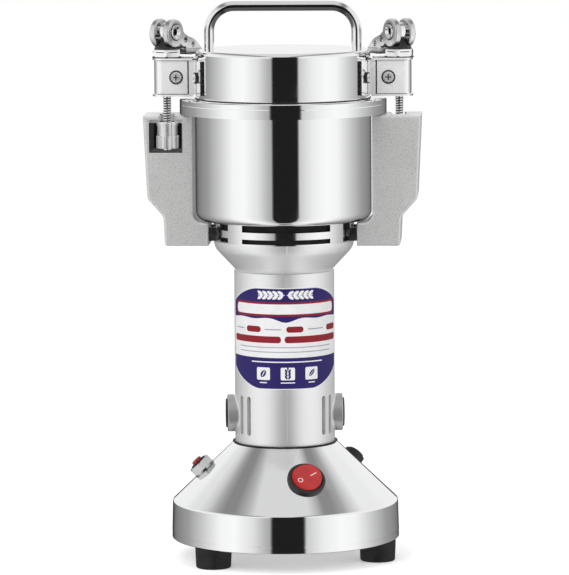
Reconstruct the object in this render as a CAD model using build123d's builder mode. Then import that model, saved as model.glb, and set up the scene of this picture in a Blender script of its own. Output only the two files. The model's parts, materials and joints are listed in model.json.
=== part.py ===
from build123d import *

import os
from math import asin, atan2, cos, degrees, hypot, radians, sin, tan

# Electric grain mill: a high-speed blade mill with a clamped lid, in millimetres.
# +Z is up, the front is -Y, and the origin is the centre of the circle of feet, at their
# soles. An azimuth is measured about +Z from the front (-Y) towards the right (+X).

# ---------------------------------------------------------------- driving dimensions
# clearances
running_gap = 0.05  # shaft in a bush, pin in an eye
fixed_gap = 0.05  # a piece that is pressed, screwed or seated in another
moving_gap = 0.3  # faces that pass each other when something moves

# feet and base
foot_count = 3
first_foot_azimuth = -45
foot_circle = 58.3
foot_top_radius = 11.0
foot_sole_radius = 10.5
foot_height = 12.5
foot_recess_radius = 5.0
foot_recess_depth = 6.0
foot_sole_round = 1.2
screw_radius = 2.0
foot_screw_head = 3.0
foot_screw_head_gap = 0.8
foot_nut_radius = 4.0
post_screw_head_radius = 3.0
post_screw_head = 2.0
post_screw_length = 12.0
base_radius = 69.0
base_taper = 0.6
band_height = 22.5
cone_height = 35.7
base_sheet = 1.0
base_corner_radius = 4.0
base_crease_radius = 1.2
base_lip_width = 18.0
base_plate_sheet = 1.5
base_plate_margin = 6.0
post_circle = 34.0
post_radius = 4.0
first_post_azimuth = -30
intake_slot_count = 12
intake_slot_circle = 44.0
intake_slot_length = 10.0
intake_slot_width = 3.0
gasket_lip = 0.4
gasket_depth = 1.6

# motor housing
motor_yaw = 5.3  # the housing's own front, as an azimuth
neck_radius = 30.2
neck_above_cone = 104.3
neck_below_cone = 13.2
housing_wall = 2.2
housing_flange_radius = 38.0
housing_flange = 3.0
vent_radius = 42.3
vent_height = 30.6  # from the top of the neck to the bowl's floor
flare_height = 13.8
flare_bend_radius = 9.0
flare_ledge = 1.4  # how far the neck's end stands out round the foot of the flare
spigot_length = 8.0
neck_end_chamfer = 0.8
upper_vent_height = 4.6
vent_band_height = 4.2
lower_vent_height = 2.8
front_vent_half_angle = 38.5
side_vent_start = 54.5
side_vent_end = 67.0
neck_slot_azimuths = (48.3, 61.5)
neck_slot_length = 23.8
neck_slot_width = 3.2
neck_slot_rise = 0.6  # above the brushes
brush_height = 17.3  # above the top of the base cone
brush_boss_radius = 11.3
brush_boss_reach = 34.8
brush_boss_round = 0.6
brush_cap_radius = 8.7
brush_cap_depth = 2.6
brush_cap_proud = 1.0
brush_holder_radius = 6.8
brush_side = 6.0
bowl_screw_circle = 36.6
bowl_boss_radius = 4.2
bowl_boss_azimuth = 46.5
bowl_screw_length = 10.0

# motor
motor_length = 42.0
motor_bottom = 37.3  # above the top of the base cone
pole_radius = 17.9
stator_yoke = 4.5
armature_air_gap = 0.6
winding_overhang = 9.0
lower_coil_height = 7.5
upper_coil_height = 4.5
commutator_radius = 11.0
commutator_length = 20.0
commutator_bar_count = 24
commutator_groove = 0.5
armature_slot_count = 12
armature_slot_length = 5.0
armature_slot_width = 3.0
armature_slot_inset = 3.0
armature_mouth = 1.2
pole_half_angle = 55
pole_root = 0.55  # how wide a pole's root is, as a share of its face
field_coil_width = 8.0
field_coil_gap = 1.5
brush_length = 12.0
brush_gap = 0.15
holder_gap = 2.0
spring_gap = 0.2
spring_wall = 0.7
brush_cap_slot = (10.0, 1.6, 1.4)  # length, width, depth
shaft_radius = 4.0
spindle_radius = 5.0
bearing_radius = 11.0
bearing_width = 7.0
bearing_race = 2.2
bridge_sheet = 4.0
bridge_hub_radius = 14.5
bearing_seat = 1.5
bridge_window = (8.5, 14.0, 2.0)  # across, along, corner radius
shaft_below_bearing = 4.0
upper_bridge_below_neck_top = 11.0
lower_bridge_above_cone = -6.0
fan_radius = 31.0
fan_height = 12.0
fan_blade_count = 9
fan_below_bowl = 7.0
fan_sheet = 1.6
fan_hub_wall = 4.0
fan_blade = (20.0, 1.4)  # length, sheet
fan_blade_circle = 20.5
fan_blade_lean = 25

# bowl and blades
bowl_radius = 53.0
bowl_height = 67.2
bowl_sheet = 1.2
bowl_corner_radius = 5.0
bowl_rim_reach = 7.0
bowl_rim_turn_down = 2.4
bowl_rim_bend = 1.2
bowl_screw_head_radius = 3.6
bowl_screw_head = 1.6
seal_radius = 9.0
seal_flange_radius = 13.0
seal_flange = 2.5
seal_chamfer = 1.2
seal_below_floor = 3.0
blade_sheet = 2.0
blade_width = 15.0
blade_tip_gap = 5.0
blade_tip_length = 13.0
blade_tip_bend = 3.0
blade_tip_bevel = 5.0
lower_blade_turn = 35
upper_blade_turn = 125
lower_blade_drop = 3.0
upper_blade_rise = 6.0
blade_lift = 4.5
blade_spacing = 9.0
blade_spacer_radius = 8.0
blade_nut_flats = 13.0
blade_nut_height = 7.0
nut_cap = 1.0

# lid
lid_radius = 52.5
lid_height = 29.0
lid_sheet = 1.2
lid_edge_radius = 2.5
collar_radius = 62.2
collar_height = 9.0
collar_edge_radius = 3.0
gasket_height = 4.7
handle_half_width = 44.3
handle_height = 26.0
handle_rod_radius = 3.0
handle_bend_radius = 15.0
handle_stud_radius = 2.5
handle_stud_length = 6.0
handle_nut_flats = 8.6
handle_nut_height = 4.0

# ears on the lid
ear_beyond_rod = 7.2
ear_width = 20.0
ear_sheet = 1.5
ear_height = 22.9
ear_corner_radius = 5.0
ear_above_collar = 1.4
ear_cap_sheet = 1.2
ear_cap_overhang = 1.0
ear_tab_start = 9.0
ear_tab_end = 27.0
ear_tab_screw_angle = 19.0
ear_screw_beyond_lid = 11.1
ear_screw_head_radius = 3.5
ear_screw_radius = 1.8
ear_screw_head = 1.9
ear_screw_length = 5.0
tab_screw_radius = 1.5
tab_screw_head_radius = 3.1
tab_screw_head = 1.6
tab_screw_length = 6.0
screw_cross = 0.7
screw_cross_depth = 1.1
ear_cap_lid_gap = 2.2

# clamps
rod_beyond_lid = 17.4
rod_radius = 2.5
rod_end_below_bracket_top = 21.6
clamp_nut_flats = 15.8
clamp_nut_height = 4.8
clamp_nut_turn = 4  # its front corner, from straight ahead
rod_end_chamfer = 0.5
cam_seat_radius = 7.6
cam_seat_height = 6.2
pin_above_nut = 10.5
pin_radius = 3.2
pin_bore_radius = 2.1
pin_head_radius = 4.7
pin_head = 0.8
pin_dish = 1.4
cam_radius = 8.6
cam_offset = 0.8
cam_thickness = 4.0
cam_spacing = 9.7
cam_edge_round = 0.8
eye_radius = 5.4
eye_width = 3.4
lever_yaw = 30
lever_length = 28.5
lever_drop = 11.5
lever_hole_radius = 1.8
arm_sheet = 2.6
arm_overlap = 0.4
pad_width = 14.4
knurl_radius = 6.7
knurl_height = 7.3
knurl_count = 18
knurl_groove = 0.6
barrel_radius = 6.1
barrel_height = 6.4
nut_lip_radius = 6.6
nut_lip_height = 1.5
nut_under_plate = 0.8
nut_path_gap = 1.3

# cast clamp brackets
bracket_below_collar = 0.8
bracket_below_bowl = 14.6
bracket_half_depth = 18.0
bracket_beyond_rod = 13.4
bracket_taper = 2.3
bracket_foot_taper = 0.8
bracket_bend = 6.0
bracket_toe_round = 2.0
bracket_shoulder_rise = 13.9  # above the bowl's floor
bracket_shoulder_height = 10.7
bracket_foot_beyond_vent = 29.1
bracket_bowl_gap = 0.9
bracket_foot_gap = 2.3
bracket_wall = 3.0
bracket_edge_round = 1.6
bracket_plate = 4.5
window_half_width = 9.8
window_height = 17.7
window_back_wall = 2.7
window_lip_depth = 6.0
window_lip_height = 2.3
slot_gap = 1.9
slot_mouth_widening = 2.1
slot_mouth_depth = 4.0
bracket_bolt_spacing = 18.0
bracket_bolt_height = 6.5
bracket_bolt_radius = 2.5
bracket_bolt_head_radius = 4.25
bracket_bolt_head = 5.0
bracket_bolt_socket = 2.2
bracket_bolt_grip = 5.0
spacer_nut_flats = 8.0

# switch and fittings on the base cone
fitting_circle = 49.0
switch_azimuth = 17.7
bezel_radius = 11.5
bezel_height = 2.2
bezel_wall = 1.95
bezel_edge = 1.2
switch_body_radius = 10.0
switch_body_depth = 18.0
terminal = (6.3, 0.8, 7.0)  # width, sheet, length
terminal_spacing = 7.0
rocker_pivot_depth = 1.0
rocker_turn = 20
rocker_rest_tilt = 8
rocker_height = 3.2
rocker_dish = 1.6
rocker_skirt = 4.0
reset_azimuth = -87
reset_washer_radius = 7.3
reset_nut_flats = 13.2
reset_nut_height = 4.6
reset_bush_radius = 5.2
reset_bush_proud = 0.7
reset_button_radius = 3.3
reset_button_proud = 1.8
reset_button_round = 0.9
reset_body = (15.0, 12.5, 22.0)  # width, height, depth
reset_body_below_cone = 3.0
reset_washer = 0.8
fuse_azimuth = 129
fuse_flange_radius = 8.0
fuse_flange = 1.5
fuse_body_radius = 6.0
fuse_cap_radius = 6.6
fuse_cap_height = 5.0
fuse_cap_rib_count = 16
fuse_cap_edge = 1.2
fuse_cap_slot = (7.0, 1.3, 1.0)  # length, width, depth
fuse_body_depth = 26.0
fuse_stem_radius = 4.0
fuse_stem_length = 12.0
gland_azimuth = 210
gland_height = 11.5
gland_radius = 7.5
gland_bore_radius = 3.6
gland_barrel_radius = 5.2
gland_proud = 3.0
gland_nut = 2.5

# ---------------------------------------------------------------- heights and reaches that follow
base_bottom = foot_height
band_top = base_bottom + band_height
cone_top = band_top + cone_height
neck_bottom = cone_top - neck_below_cone
neck_top = cone_top + neck_above_cone
bowl_floor = neck_top + vent_height
bowl_rim = bowl_floor + bowl_height
collar_top = bowl_rim + moving_gap + gasket_height + lid_sheet
collar_bottom = collar_top - collar_height
lid_top = collar_top + lid_height
ear_bottom = collar_top + ear_above_collar
ear_top = ear_bottom + ear_height
clamp_nut_bottom = ear_top
clamp_nut_top = clamp_nut_bottom + clamp_nut_height
pin_height = clamp_nut_top + pin_above_nut
bracket_top = collar_bottom - bracket_below_collar
bracket_bottom = bowl_floor - bracket_below_bowl
window_top = bracket_top - bracket_plate
window_bottom = window_top - window_height
brush_level = cone_top + brush_height
neck_inside = neck_radius - housing_wall
band_top_radius = base_radius - base_taper
neck_opening = neck_radius + 1.2
cone_angle = degrees(atan2(cone_height, band_top_radius - neck_opening))
rod_circle = lid_radius + rod_beyond_lid
ear_reach = rod_circle + ear_beyond_rod
ear_screw_reach = lid_radius + ear_screw_beyond_lid
bracket_reach = rod_circle + bracket_beyond_rod
bracket_foot_reach = vent_radius + bracket_foot_beyond_vent

os.makedirs("parts", exist_ok=True)


# ---------------------------------------------------------------- small helpers
def finish(piece, name):
    """Labels a finished piece and writes its STEP file."""
    piece.part.label = name
    export_step(piece.part, f"parts/{name}.step")


def around(azimuth, radius, height):
    """The point at an azimuth from the front, a radius from the axis and a height."""
    return (radius * sin(radians(azimuth)), -radius * cos(radians(azimuth)), height)


def radial_plane(azimuth, height, radius=0):
    """An upright plane that faces outwards at an azimuth."""
    a = radians(azimuth)
    origin = around(azimuth, radius, height)
    return Plane(origin=origin, x_dir=(cos(a), sin(a), 0), z_dir=(sin(a), -cos(a), 0))


def cone_plane(azimuth, radius=fitting_circle):
    """A plane that lies on the base cone at an azimuth, facing along the cone's normal."""
    a, slope = radians(azimuth), radians(cone_angle)
    height = band_top + (band_top_radius - radius) * tan(slope)
    normal = (sin(a) * sin(slope), -cos(a) * sin(slope), cos(slope))
    return Plane(origin=around(azimuth, radius, height), x_dir=(cos(a), sin(a), 0), z_dir=normal)


def lever_plane(side):
    """The mid-plane of a cam lever: x along its arm, y up, the origin on its pin."""
    yaw = radians(lever_yaw)
    return Plane(
        origin=(side * rod_circle, 0, pin_height),
        x_dir=(-side * sin(yaw), cos(yaw), 0),
        z_dir=(cos(yaw), side * sin(yaw), 0),
    )


post_places = [first_post_azimuth + 120 * n for n in range(3)]
foot_places = [first_foot_azimuth + 360 / foot_count * n for n in range(foot_count)]
sides = (("left", -1), ("right", 1))

# ---------------------------------------------------------------- base
# the outer shape of the base cover, grown by a gap, for cutting what sits on it
with BuildPart() as base_envelope:
    rise = fixed_gap / cos(radians(cone_angle))
    with BuildSketch(Plane.XZ):
        with BuildLine():
            Polyline(
                (0, base_bottom),
                (base_radius + fixed_gap, base_bottom),
                (band_top_radius + fixed_gap, band_top + rise - fixed_gap * tan(radians(cone_angle))),
                (neck_opening, cone_top + rise),
                (0, cone_top + rise),
                close=True,
            )
        make_face()
    revolve(axis=Axis.Z)

with BuildPart() as base_cover:
    sheet = base_sheet / 2
    band_corner = band_top - sheet * tan(radians(cone_angle / 2))
    with BuildSketch(Plane.XZ):
        with BuildLine():
            FilletPolyline(
                (base_radius - base_lip_width, base_bottom + sheet),
                (base_radius - sheet, base_bottom + sheet),
                (band_top_radius - sheet, band_corner),
                (neck_opening - sheet, cone_top - sheet),
                radius=[base_corner_radius, base_crease_radius],
            )
        trace(line_width=base_sheet)
    revolve(axis=Axis.Z)
    openings = (
        (cone_plane(switch_azimuth), switch_body_radius + fixed_gap),
        (cone_plane(reset_azimuth), reset_bush_radius + fixed_gap),
        (cone_plane(fuse_azimuth), fuse_body_radius + fixed_gap),
        (radial_plane(gland_azimuth, base_bottom + gland_height, base_radius),
         gland_barrel_radius + fixed_gap),
    )
    for place, radius in openings:
        with BuildSketch(place):
            Circle(radius)
        extrude(amount=8, both=True, mode=Mode.SUBTRACT)
    for azimuth in foot_places:
        with BuildSketch(Plane(around(azimuth, foot_circle, base_bottom))):
            Circle(screw_radius + fixed_gap)
        extrude(amount=base_sheet, mode=Mode.SUBTRACT)
finish(base_cover, "base_cover")

plate_bottom = base_bottom + base_sheet
plate_top = plate_bottom + base_plate_sheet

with BuildPart() as base_plate:
    with BuildSketch(Plane.XY.offset(plate_bottom)):
        Circle(base_radius - base_plate_margin)
        with PolarLocations(intake_slot_circle, intake_slot_count):
            SlotOverall(intake_slot_length, intake_slot_width, mode=Mode.SUBTRACT)
        for azimuth in foot_places:
            with Locations(around(azimuth, foot_circle, 0)[:2]):
                Circle(screw_radius + fixed_gap, mode=Mode.SUBTRACT)
        for azimuth in post_places:
            with Locations(around(azimuth, post_circle, 0)[:2]):
                Circle(screw_radius + fixed_gap, mode=Mode.SUBTRACT)
    extrude(amount=base_plate_sheet)
finish(base_plate, "base_plate")

with BuildPart() as rubber_feet:
    for azimuth in foot_places:
        x, y, _ = around(azimuth, foot_circle, 0)
        with BuildSketch(Plane((x, y, 0))):
            Circle(foot_sole_radius)
        with BuildSketch(Plane((x, y, foot_height))):
            Circle(foot_top_radius)
        loft()
    fillet(rubber_feet.edges().group_by(Axis.Z)[0], foot_sole_round)
    for azimuth in foot_places:
        x, y, _ = around(azimuth, foot_circle, 0)
        with BuildSketch(Plane((x, y, 0))):
            Circle(foot_recess_radius)
        extrude(amount=foot_recess_depth, mode=Mode.SUBTRACT)
        with BuildSketch(Plane((x, y, foot_recess_depth))):
            Circle(screw_radius + fixed_gap)
        extrude(amount=foot_height, mode=Mode.SUBTRACT)
finish(rubber_feet, "rubber_feet")

with BuildPart() as support_posts:
    for azimuth in post_places:
        with BuildSketch(Plane(around(azimuth, post_circle, plate_top))):
            Circle(post_radius)
            Circle(screw_radius + fixed_gap, mode=Mode.SUBTRACT)
        extrude(amount=neck_bottom - plate_top)
finish(support_posts, "support_posts")

flange_top = neck_bottom + housing_flange

with BuildPart() as base_screws:
    # a screw through each foot, with its nut on the base plate
    for azimuth in foot_places:
        with BuildSketch(Plane(around(azimuth, foot_circle, foot_recess_depth - foot_screw_head))):
            Circle(foot_recess_radius - foot_screw_head_gap)
        extrude(amount=foot_screw_head)
        with BuildSketch(Plane(around(azimuth, foot_circle, foot_recess_depth))):
            Circle(screw_radius)
        extrude(amount=plate_top + foot_screw_head - foot_recess_depth)
        with BuildSketch(Plane(around(azimuth, foot_circle, plate_top))):
            RegularPolygon(foot_nut_radius, 6)
        extrude(amount=foot_screw_head)
    # a screw into each end of each post
    for azimuth in post_places:
        for height, inwards in ((plate_bottom, 1), (flange_top, -1)):
            with BuildSketch(Plane(around(azimuth, post_circle, height))):
                Circle(post_screw_head_radius)
            extrude(amount=-inwards * post_screw_head)
            with BuildSketch(Plane(around(azimuth, post_circle, height))):
                Circle(screw_radius)
            extrude(amount=inwards * post_screw_length)
finish(base_screws, "base_screws")

with BuildPart() as base_gasket:
    with BuildSketch(Plane.XY.offset(cone_top - gasket_depth)):
        Circle(neck_opening - base_sheet * 0.35 - fixed_gap)
        Circle(neck_radius + fixed_gap, mode=Mode.SUBTRACT)
    extrude(amount=gasket_depth + gasket_lip)
    with BuildSketch(Plane.XY.offset(cone_top + fixed_gap)):
        Circle(neck_opening + gasket_lip)
        Circle(neck_radius + fixed_gap, mode=Mode.SUBTRACT)
    extrude(amount=gasket_lip)
    add(base_cover.part, mode=Mode.SUBTRACT)
finish(base_gasket, "base_gasket")

# ---------------------------------------------------------------- fittings on the base
switch_place = cone_plane(switch_azimuth)
rocker_sphere = bezel_radius - bezel_wall - moving_gap

with BuildPart() as switch_housing:
    with BuildSketch(switch_place.offset(bezel_height)):
        Circle(bezel_radius)
    extrude(amount=-bezel_height - 1.4)
    fillet(switch_housing.edges().filter_by(GeomType.CIRCLE).sort_by_distance(
        switch_place.offset(switch_body_depth).origin)[0], bezel_edge)
    add(base_envelope.part, mode=Mode.SUBTRACT)
    with BuildSketch(switch_place.offset(1.0)):
        Circle(switch_body_radius)
    extrude(amount=-switch_body_depth - 1.0)
    with BuildSketch(switch_place.offset(bezel_height)):
        Circle(bezel_radius - bezel_wall)
    extrude(amount=-bezel_height - rocker_sphere, mode=Mode.SUBTRACT)
    with BuildSketch(switch_place.offset(-switch_body_depth)):
        with GridLocations(0, terminal_spacing, 1, 2):
            Rectangle(*terminal[:2])
    extrude(amount=-terminal[2])
finish(switch_housing, "switch_housing")

with BuildPart() as switch_rocker:
    turn = radians(rocker_turn)
    pivot = switch_place.offset(bezel_height - rocker_pivot_depth)
    across = (pivot.x_dir * cos(turn) + pivot.y_dir * sin(turn)).normalized()
    upright = pivot.z_dir.rotate(Axis((0, 0, 0), pivot.z_dir.cross(across)), -rocker_rest_tilt)
    across = across.rotate(Axis((0, 0, 0), pivot.z_dir.cross(across)), -rocker_rest_tilt)
    side_view = Plane(origin=pivot.origin, x_dir=across, z_dir=across.cross(upright))
    with Locations(Location(side_view)):
        Sphere(rocker_sphere)
    # a flat below and a shallow dish above, seen from the side
    with BuildSketch(side_view):
        with BuildLine():
            reach = rocker_sphere + 1
            top = rocker_height
            Polyline((-reach, top), (-reach, -rocker_skirt), (reach, -rocker_skirt), (reach, top))
            ThreePointArc((reach, top), (0, top - rocker_dish), (-reach, top))
        make_face()
    extrude(amount=reach, both=True, mode=Mode.INTERSECT)
finish(switch_rocker, "switch_rocker")

reset_place = cone_plane(reset_azimuth)
reset_nut_top = reset_washer + reset_nut_height

with BuildPart() as reset_breaker:
    with BuildSketch(reset_place.offset(reset_nut_top + reset_bush_proud)):
        Circle(reset_bush_radius)
    extrude(amount=-reset_nut_top - reset_bush_proud - reset_body_below_cone)
    with BuildSketch(reset_place.offset(-reset_body_below_cone)):
        RectangleRounded(*reset_body[:2], 1.0)
    extrude(amount=-reset_body[2])
    with BuildSketch(reset_place.offset(reset_nut_top + reset_bush_proud)):
        Circle(reset_button_radius + moving_gap)
    extrude(amount=-reset_nut_top - 6, mode=Mode.SUBTRACT)
finish(reset_breaker, "reset_breaker")

with BuildPart() as reset_nut:
    with BuildSketch(reset_place.offset(reset_washer)):
        RegularPolygon(reset_nut_flats / 2, 6, major_radius=False)
    extrude(amount=reset_nut_height)
    with BuildSketch(reset_place.offset(reset_nut_top)):
        Circle(reset_nut_flats / 2 + 0.2)
    extrude(amount=-reset_nut_height * 2, taper=-30, mode=Mode.INTERSECT)
    with BuildSketch(reset_place.offset(reset_washer)):
        Circle(reset_washer_radius)
    extrude(amount=-reset_washer - 1.0)
    with BuildSketch(reset_place.offset(reset_nut_top)):
        Circle(reset_bush_radius + fixed_gap)
    extrude(amount=-reset_nut_top - 4, mode=Mode.SUBTRACT)
    add(base_envelope.part, mode=Mode.SUBTRACT)
finish(reset_nut, "reset_nut")

with BuildPart() as reset_button:
    with BuildSketch(reset_place.offset(reset_nut_top + reset_bush_proud + reset_button_proud)):
        Circle(reset_button_radius)
    extrude(amount=-reset_nut_top - 3)
    fillet(reset_button.edges().filter_by(GeomType.CIRCLE).sort_by_distance(
        reset_place.offset(reset_body[2]).origin)[0], reset_button_round)
finish(reset_button, "reset_button")

fuse_place = cone_plane(fuse_azimuth)

with BuildPart() as fuse_holder:
    with BuildSketch(fuse_place.offset(fuse_flange)):
        Circle(fuse_flange_radius)
    extrude(amount=-fuse_flange - 1.0)
    add(base_envelope.part, mode=Mode.SUBTRACT)
    with BuildSketch(fuse_place.offset(0.5)):
        Circle(fuse_body_radius)
    extrude(amount=-fuse_body_depth)
    with BuildSketch(fuse_place.offset(fuse_flange)):
        Circle(fuse_stem_radius + running_gap)
    extrude(amount=-fuse_body_depth + 4, mode=Mode.SUBTRACT)
finish(fuse_holder, "fuse_holder")

with BuildPart() as fuse_cap:
    with BuildSketch(fuse_place.offset(fuse_flange + moving_gap)):
        Circle(fuse_cap_radius)
        with PolarLocations(fuse_cap_radius + 0.35, fuse_cap_rib_count):
            Circle(0.7, mode=Mode.SUBTRACT)
    extrude(amount=fuse_cap_height - fuse_cap_edge)
    with BuildSketch(fuse_place.offset(fuse_flange + moving_gap + fuse_cap_height - fuse_cap_edge)):
        Circle(fuse_cap_radius - fuse_cap_edge / 2)
    extrude(amount=fuse_cap_edge, taper=35)
    with BuildSketch(fuse_place.offset(fuse_flange + moving_gap + fuse_cap_height)):
        Rectangle(*fuse_cap_slot[:2])
    extrude(amount=-fuse_cap_slot[2], mode=Mode.SUBTRACT)
    with BuildSketch(fuse_place.offset(fuse_flange + moving_gap)):
        Circle(fuse_stem_radius)
    extrude(amount=-fuse_stem_length)
finish(fuse_cap, "fuse_cap")

gland_place = radial_plane(gland_azimuth, base_bottom + gland_height, base_radius)

with BuildPart() as cord_gland:
    with BuildSketch(gland_place.offset(gland_proud)):
        Circle(gland_radius)
    extrude(amount=-gland_proud - base_taper - base_sheet)
    fillet(cord_gland.edges().filter_by(GeomType.CIRCLE).sort_by_distance(
        gland_place.offset(base_radius).origin)[0], 1.2)
    with BuildSketch(Plane.XY.offset(base_bottom)):
        Circle(base_radius + fixed_gap)
    extrude(amount=band_height, mode=Mode.SUBTRACT)
    with BuildSketch(gland_place.offset(gland_proud - base_sheet)):
        Circle(gland_barrel_radius)
    extrude(amount=-2 * gland_proud - base_sheet)
    with BuildSketch(gland_place.offset(-2 * base_sheet - base_taper)):
        RegularPolygon(gland_radius, 6)
    extrude(amount=-gland_nut)
    with BuildSketch(gland_place.offset(2 * gland_proud)):
        Circle(gland_bore_radius)
    extrude(amount=-15, mode=Mode.SUBTRACT)
finish(cord_gland, "cord_gland")

# ---------------------------------------------------------------- motor housing
brush_azimuths = (motor_yaw - 90, motor_yaw + 90)
boss_azimuths = [motor_yaw + turned for turned in (
    bowl_boss_azimuth, -bowl_boss_azimuth, 180 - bowl_boss_azimuth, bowl_boss_azimuth - 180)]

with BuildPart() as motor_housing:
    with BuildSketch(Plane.XY.offset(neck_bottom)):
        Circle(neck_radius)
    extrude(amount=neck_top - neck_bottom)
    with BuildSketch(Plane.XY.offset(neck_bottom)):
        Circle(housing_flange_radius)
        for azimuth in post_places:
            with Locations(around(azimuth, post_circle, 0)[:2]):
                Circle(screw_radius + fixed_gap, mode=Mode.SUBTRACT)
    extrude(amount=housing_flange)
    # brush bosses with their bores
    for azimuth in brush_azimuths:
        with BuildSketch(radial_plane(azimuth, brush_level, neck_inside)):
            Circle(brush_boss_radius)
        extrude(amount=brush_boss_reach - neck_inside)
    fillet(motor_housing.edges().filter_by(GeomType.CIRCLE).filter_by(
        lambda edge: abs(edge.radius - brush_boss_radius) < 0.01), brush_boss_round)
    with BuildSketch(Plane.XY.offset(neck_bottom)):
        Circle(neck_inside)
    extrude(amount=neck_top - neck_bottom, mode=Mode.SUBTRACT)
    for azimuth in brush_azimuths:
        with BuildSketch(radial_plane(azimuth, brush_level)):
            Circle(brush_holder_radius + fixed_gap)
        extrude(amount=brush_boss_reach + 1, mode=Mode.SUBTRACT)
        with BuildSketch(radial_plane(azimuth, brush_level, brush_boss_reach)):
            Circle(brush_cap_radius + fixed_gap)
        extrude(amount=-brush_cap_depth, mode=Mode.SUBTRACT)
    # slots beside the brushes
    for azimuth in neck_slot_azimuths:
        for turned in (azimuth, -azimuth, 180 - azimuth, 180 + azimuth):
            with BuildSketch(radial_plane(motor_yaw + turned, brush_level + neck_slot_rise)):
                SlotOverall(neck_slot_length, neck_slot_width, rotation=90)
            extrude(amount=neck_radius + 1, mode=Mode.SUBTRACT)
    chamfer(motor_housing.edges().filter_by(GeomType.CIRCLE).filter_by(
        lambda edge: abs(edge.radius - neck_inside) < 0.01 and edge.center().Z > neck_top - 0.01),
        neck_end_chamfer)
finish(motor_housing, "motor_housing")

with BuildPart() as fan_housing:
    middle = housing_wall / 2
    flare_top = neck_top + flare_height
    spigot_radius = neck_inside - fixed_gap
    # the flare's outer face meets the neck's end face inside its rim, by the ledge
    steepness = flare_height / (vent_radius - neck_radius + flare_ledge)
    lean = hypot(1, steepness) / steepness
    foot = neck_top + (spigot_radius - middle - (neck_radius - flare_ledge - middle * lean)) * steepness
    with BuildSketch(Plane.XZ):
        with BuildLine():
            FilletPolyline(
                (spigot_radius - middle, neck_top - spigot_length),
                (spigot_radius - middle, foot),
                (vent_radius - middle, flare_top + middle),
                (vent_radius - middle, bowl_floor),
                radius=[0.4, flare_bend_radius],
            )
        trace(line_width=housing_wall)
    revolve(axis=Axis.Z)
    # bosses inside the posts of the vent ring carry the bowl's screws
    for azimuth in boss_azimuths:
        with BuildSketch(Plane(around(azimuth, bowl_screw_circle, flare_top - 1.0))):
            Circle(bowl_boss_radius)
        extrude(amount=bowl_floor - flare_top + 1.0)
    # two rows of vent slots, the upper one open to the bowl's floor
    front_vent_width = 2 * vent_radius * sin(radians(front_vent_half_angle))
    side_vent_width = 2 * vent_radius * sin(radians((side_vent_end - side_vent_start) / 2))
    side_vent_middle = (side_vent_start + side_vent_end) / 2
    vents = [(0, front_vent_width), (180, front_vent_width)]
    vents += [(sign * side_vent_middle + back, side_vent_width)
              for back in (0, 180) for sign in (-1, 1)]
    rows = (
        (bowl_floor - upper_vent_height / 2, upper_vent_height),
        (bowl_floor - upper_vent_height - vent_band_height - lower_vent_height / 2,
         lower_vent_height),
    )
    for level, height in rows:
        for azimuth, width in vents:
            with BuildSketch(radial_plane(motor_yaw + azimuth, level, vent_radius - 12)):
                Rectangle(width, height)
            extrude(amount=20, mode=Mode.SUBTRACT)
    # tapped holes for the bowl's screws and the bracket bolts
    for azimuth in boss_azimuths:
        with BuildSketch(Plane(around(azimuth, bowl_screw_circle, bowl_floor))):
            Circle(screw_radius + fixed_gap)
        extrude(amount=-bowl_screw_length, mode=Mode.SUBTRACT)
    with BuildSketch(Plane.YZ.offset(-vent_radius - 5)):
        with Locations((0, bracket_bottom + bracket_bolt_height)):
            with GridLocations(bracket_bolt_spacing, 0, 2, 1):
                Circle(bracket_bolt_radius + fixed_gap)
    extrude(amount=2 * vent_radius + 10, mode=Mode.SUBTRACT)
finish(fan_housing, "fan_housing")

# ---------------------------------------------------------------- bearings and bridges
upper_bridge_level = neck_top - upper_bridge_below_neck_top
lower_bridge_level = cone_top + lower_bridge_above_cone
bridge_levels = (lower_bridge_level, upper_bridge_level)


with BuildPart() as bearing_bridges:
    for level in bridge_levels:
        # a spider with four air windows and a hub that holds a ball bearing from below
        with BuildSketch(Plane.XY.offset(level)):
            Circle(neck_inside - fixed_gap)
            with PolarLocations((bridge_hub_radius + neck_inside) / 2, 4):
                RectangleRounded(*bridge_window, mode=Mode.SUBTRACT)
        extrude(amount=-bridge_sheet)
        with BuildSketch(Plane.XY.offset(level)):
            Circle(bridge_hub_radius)
        extrude(amount=-bearing_seat - bearing_width)
        with BuildSketch(Plane.XY.offset(level - bearing_seat)):
            Circle(bearing_radius + fixed_gap)
        extrude(amount=-bearing_width, mode=Mode.SUBTRACT)
        with BuildSketch(Plane.XY.offset(level)):
            Circle(bearing_radius - bearing_race)
        extrude(amount=-bearing_seat, mode=Mode.SUBTRACT)
finish(bearing_bridges, "bearing_bridges")

with BuildPart() as bearing_outer_rings:
    for level in bridge_levels:
        with BuildSketch(Plane.XY.offset(level - bearing_seat)):
            Circle(bearing_radius)
            Circle((bearing_radius + shaft_radius) / 2 + moving_gap / 2, mode=Mode.SUBTRACT)
        extrude(amount=-bearing_width)
finish(bearing_outer_rings, "bearing_outer_rings")

with BuildPart() as bearing_inner_rings:
    for level in bridge_levels:
        with BuildSketch(Plane.XY.offset(level - bearing_seat)):
            Circle((bearing_radius + shaft_radius) / 2 - moving_gap / 2)
            Circle(shaft_radius + fixed_gap, mode=Mode.SUBTRACT)
        extrude(amount=-bearing_width)
finish(bearing_inner_rings, "bearing_inner_rings")

# ---------------------------------------------------------------- motor
stator_bottom = cone_top + motor_bottom
stator_top = stator_bottom + motor_length
armature_radius = pole_radius - armature_air_gap

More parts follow.
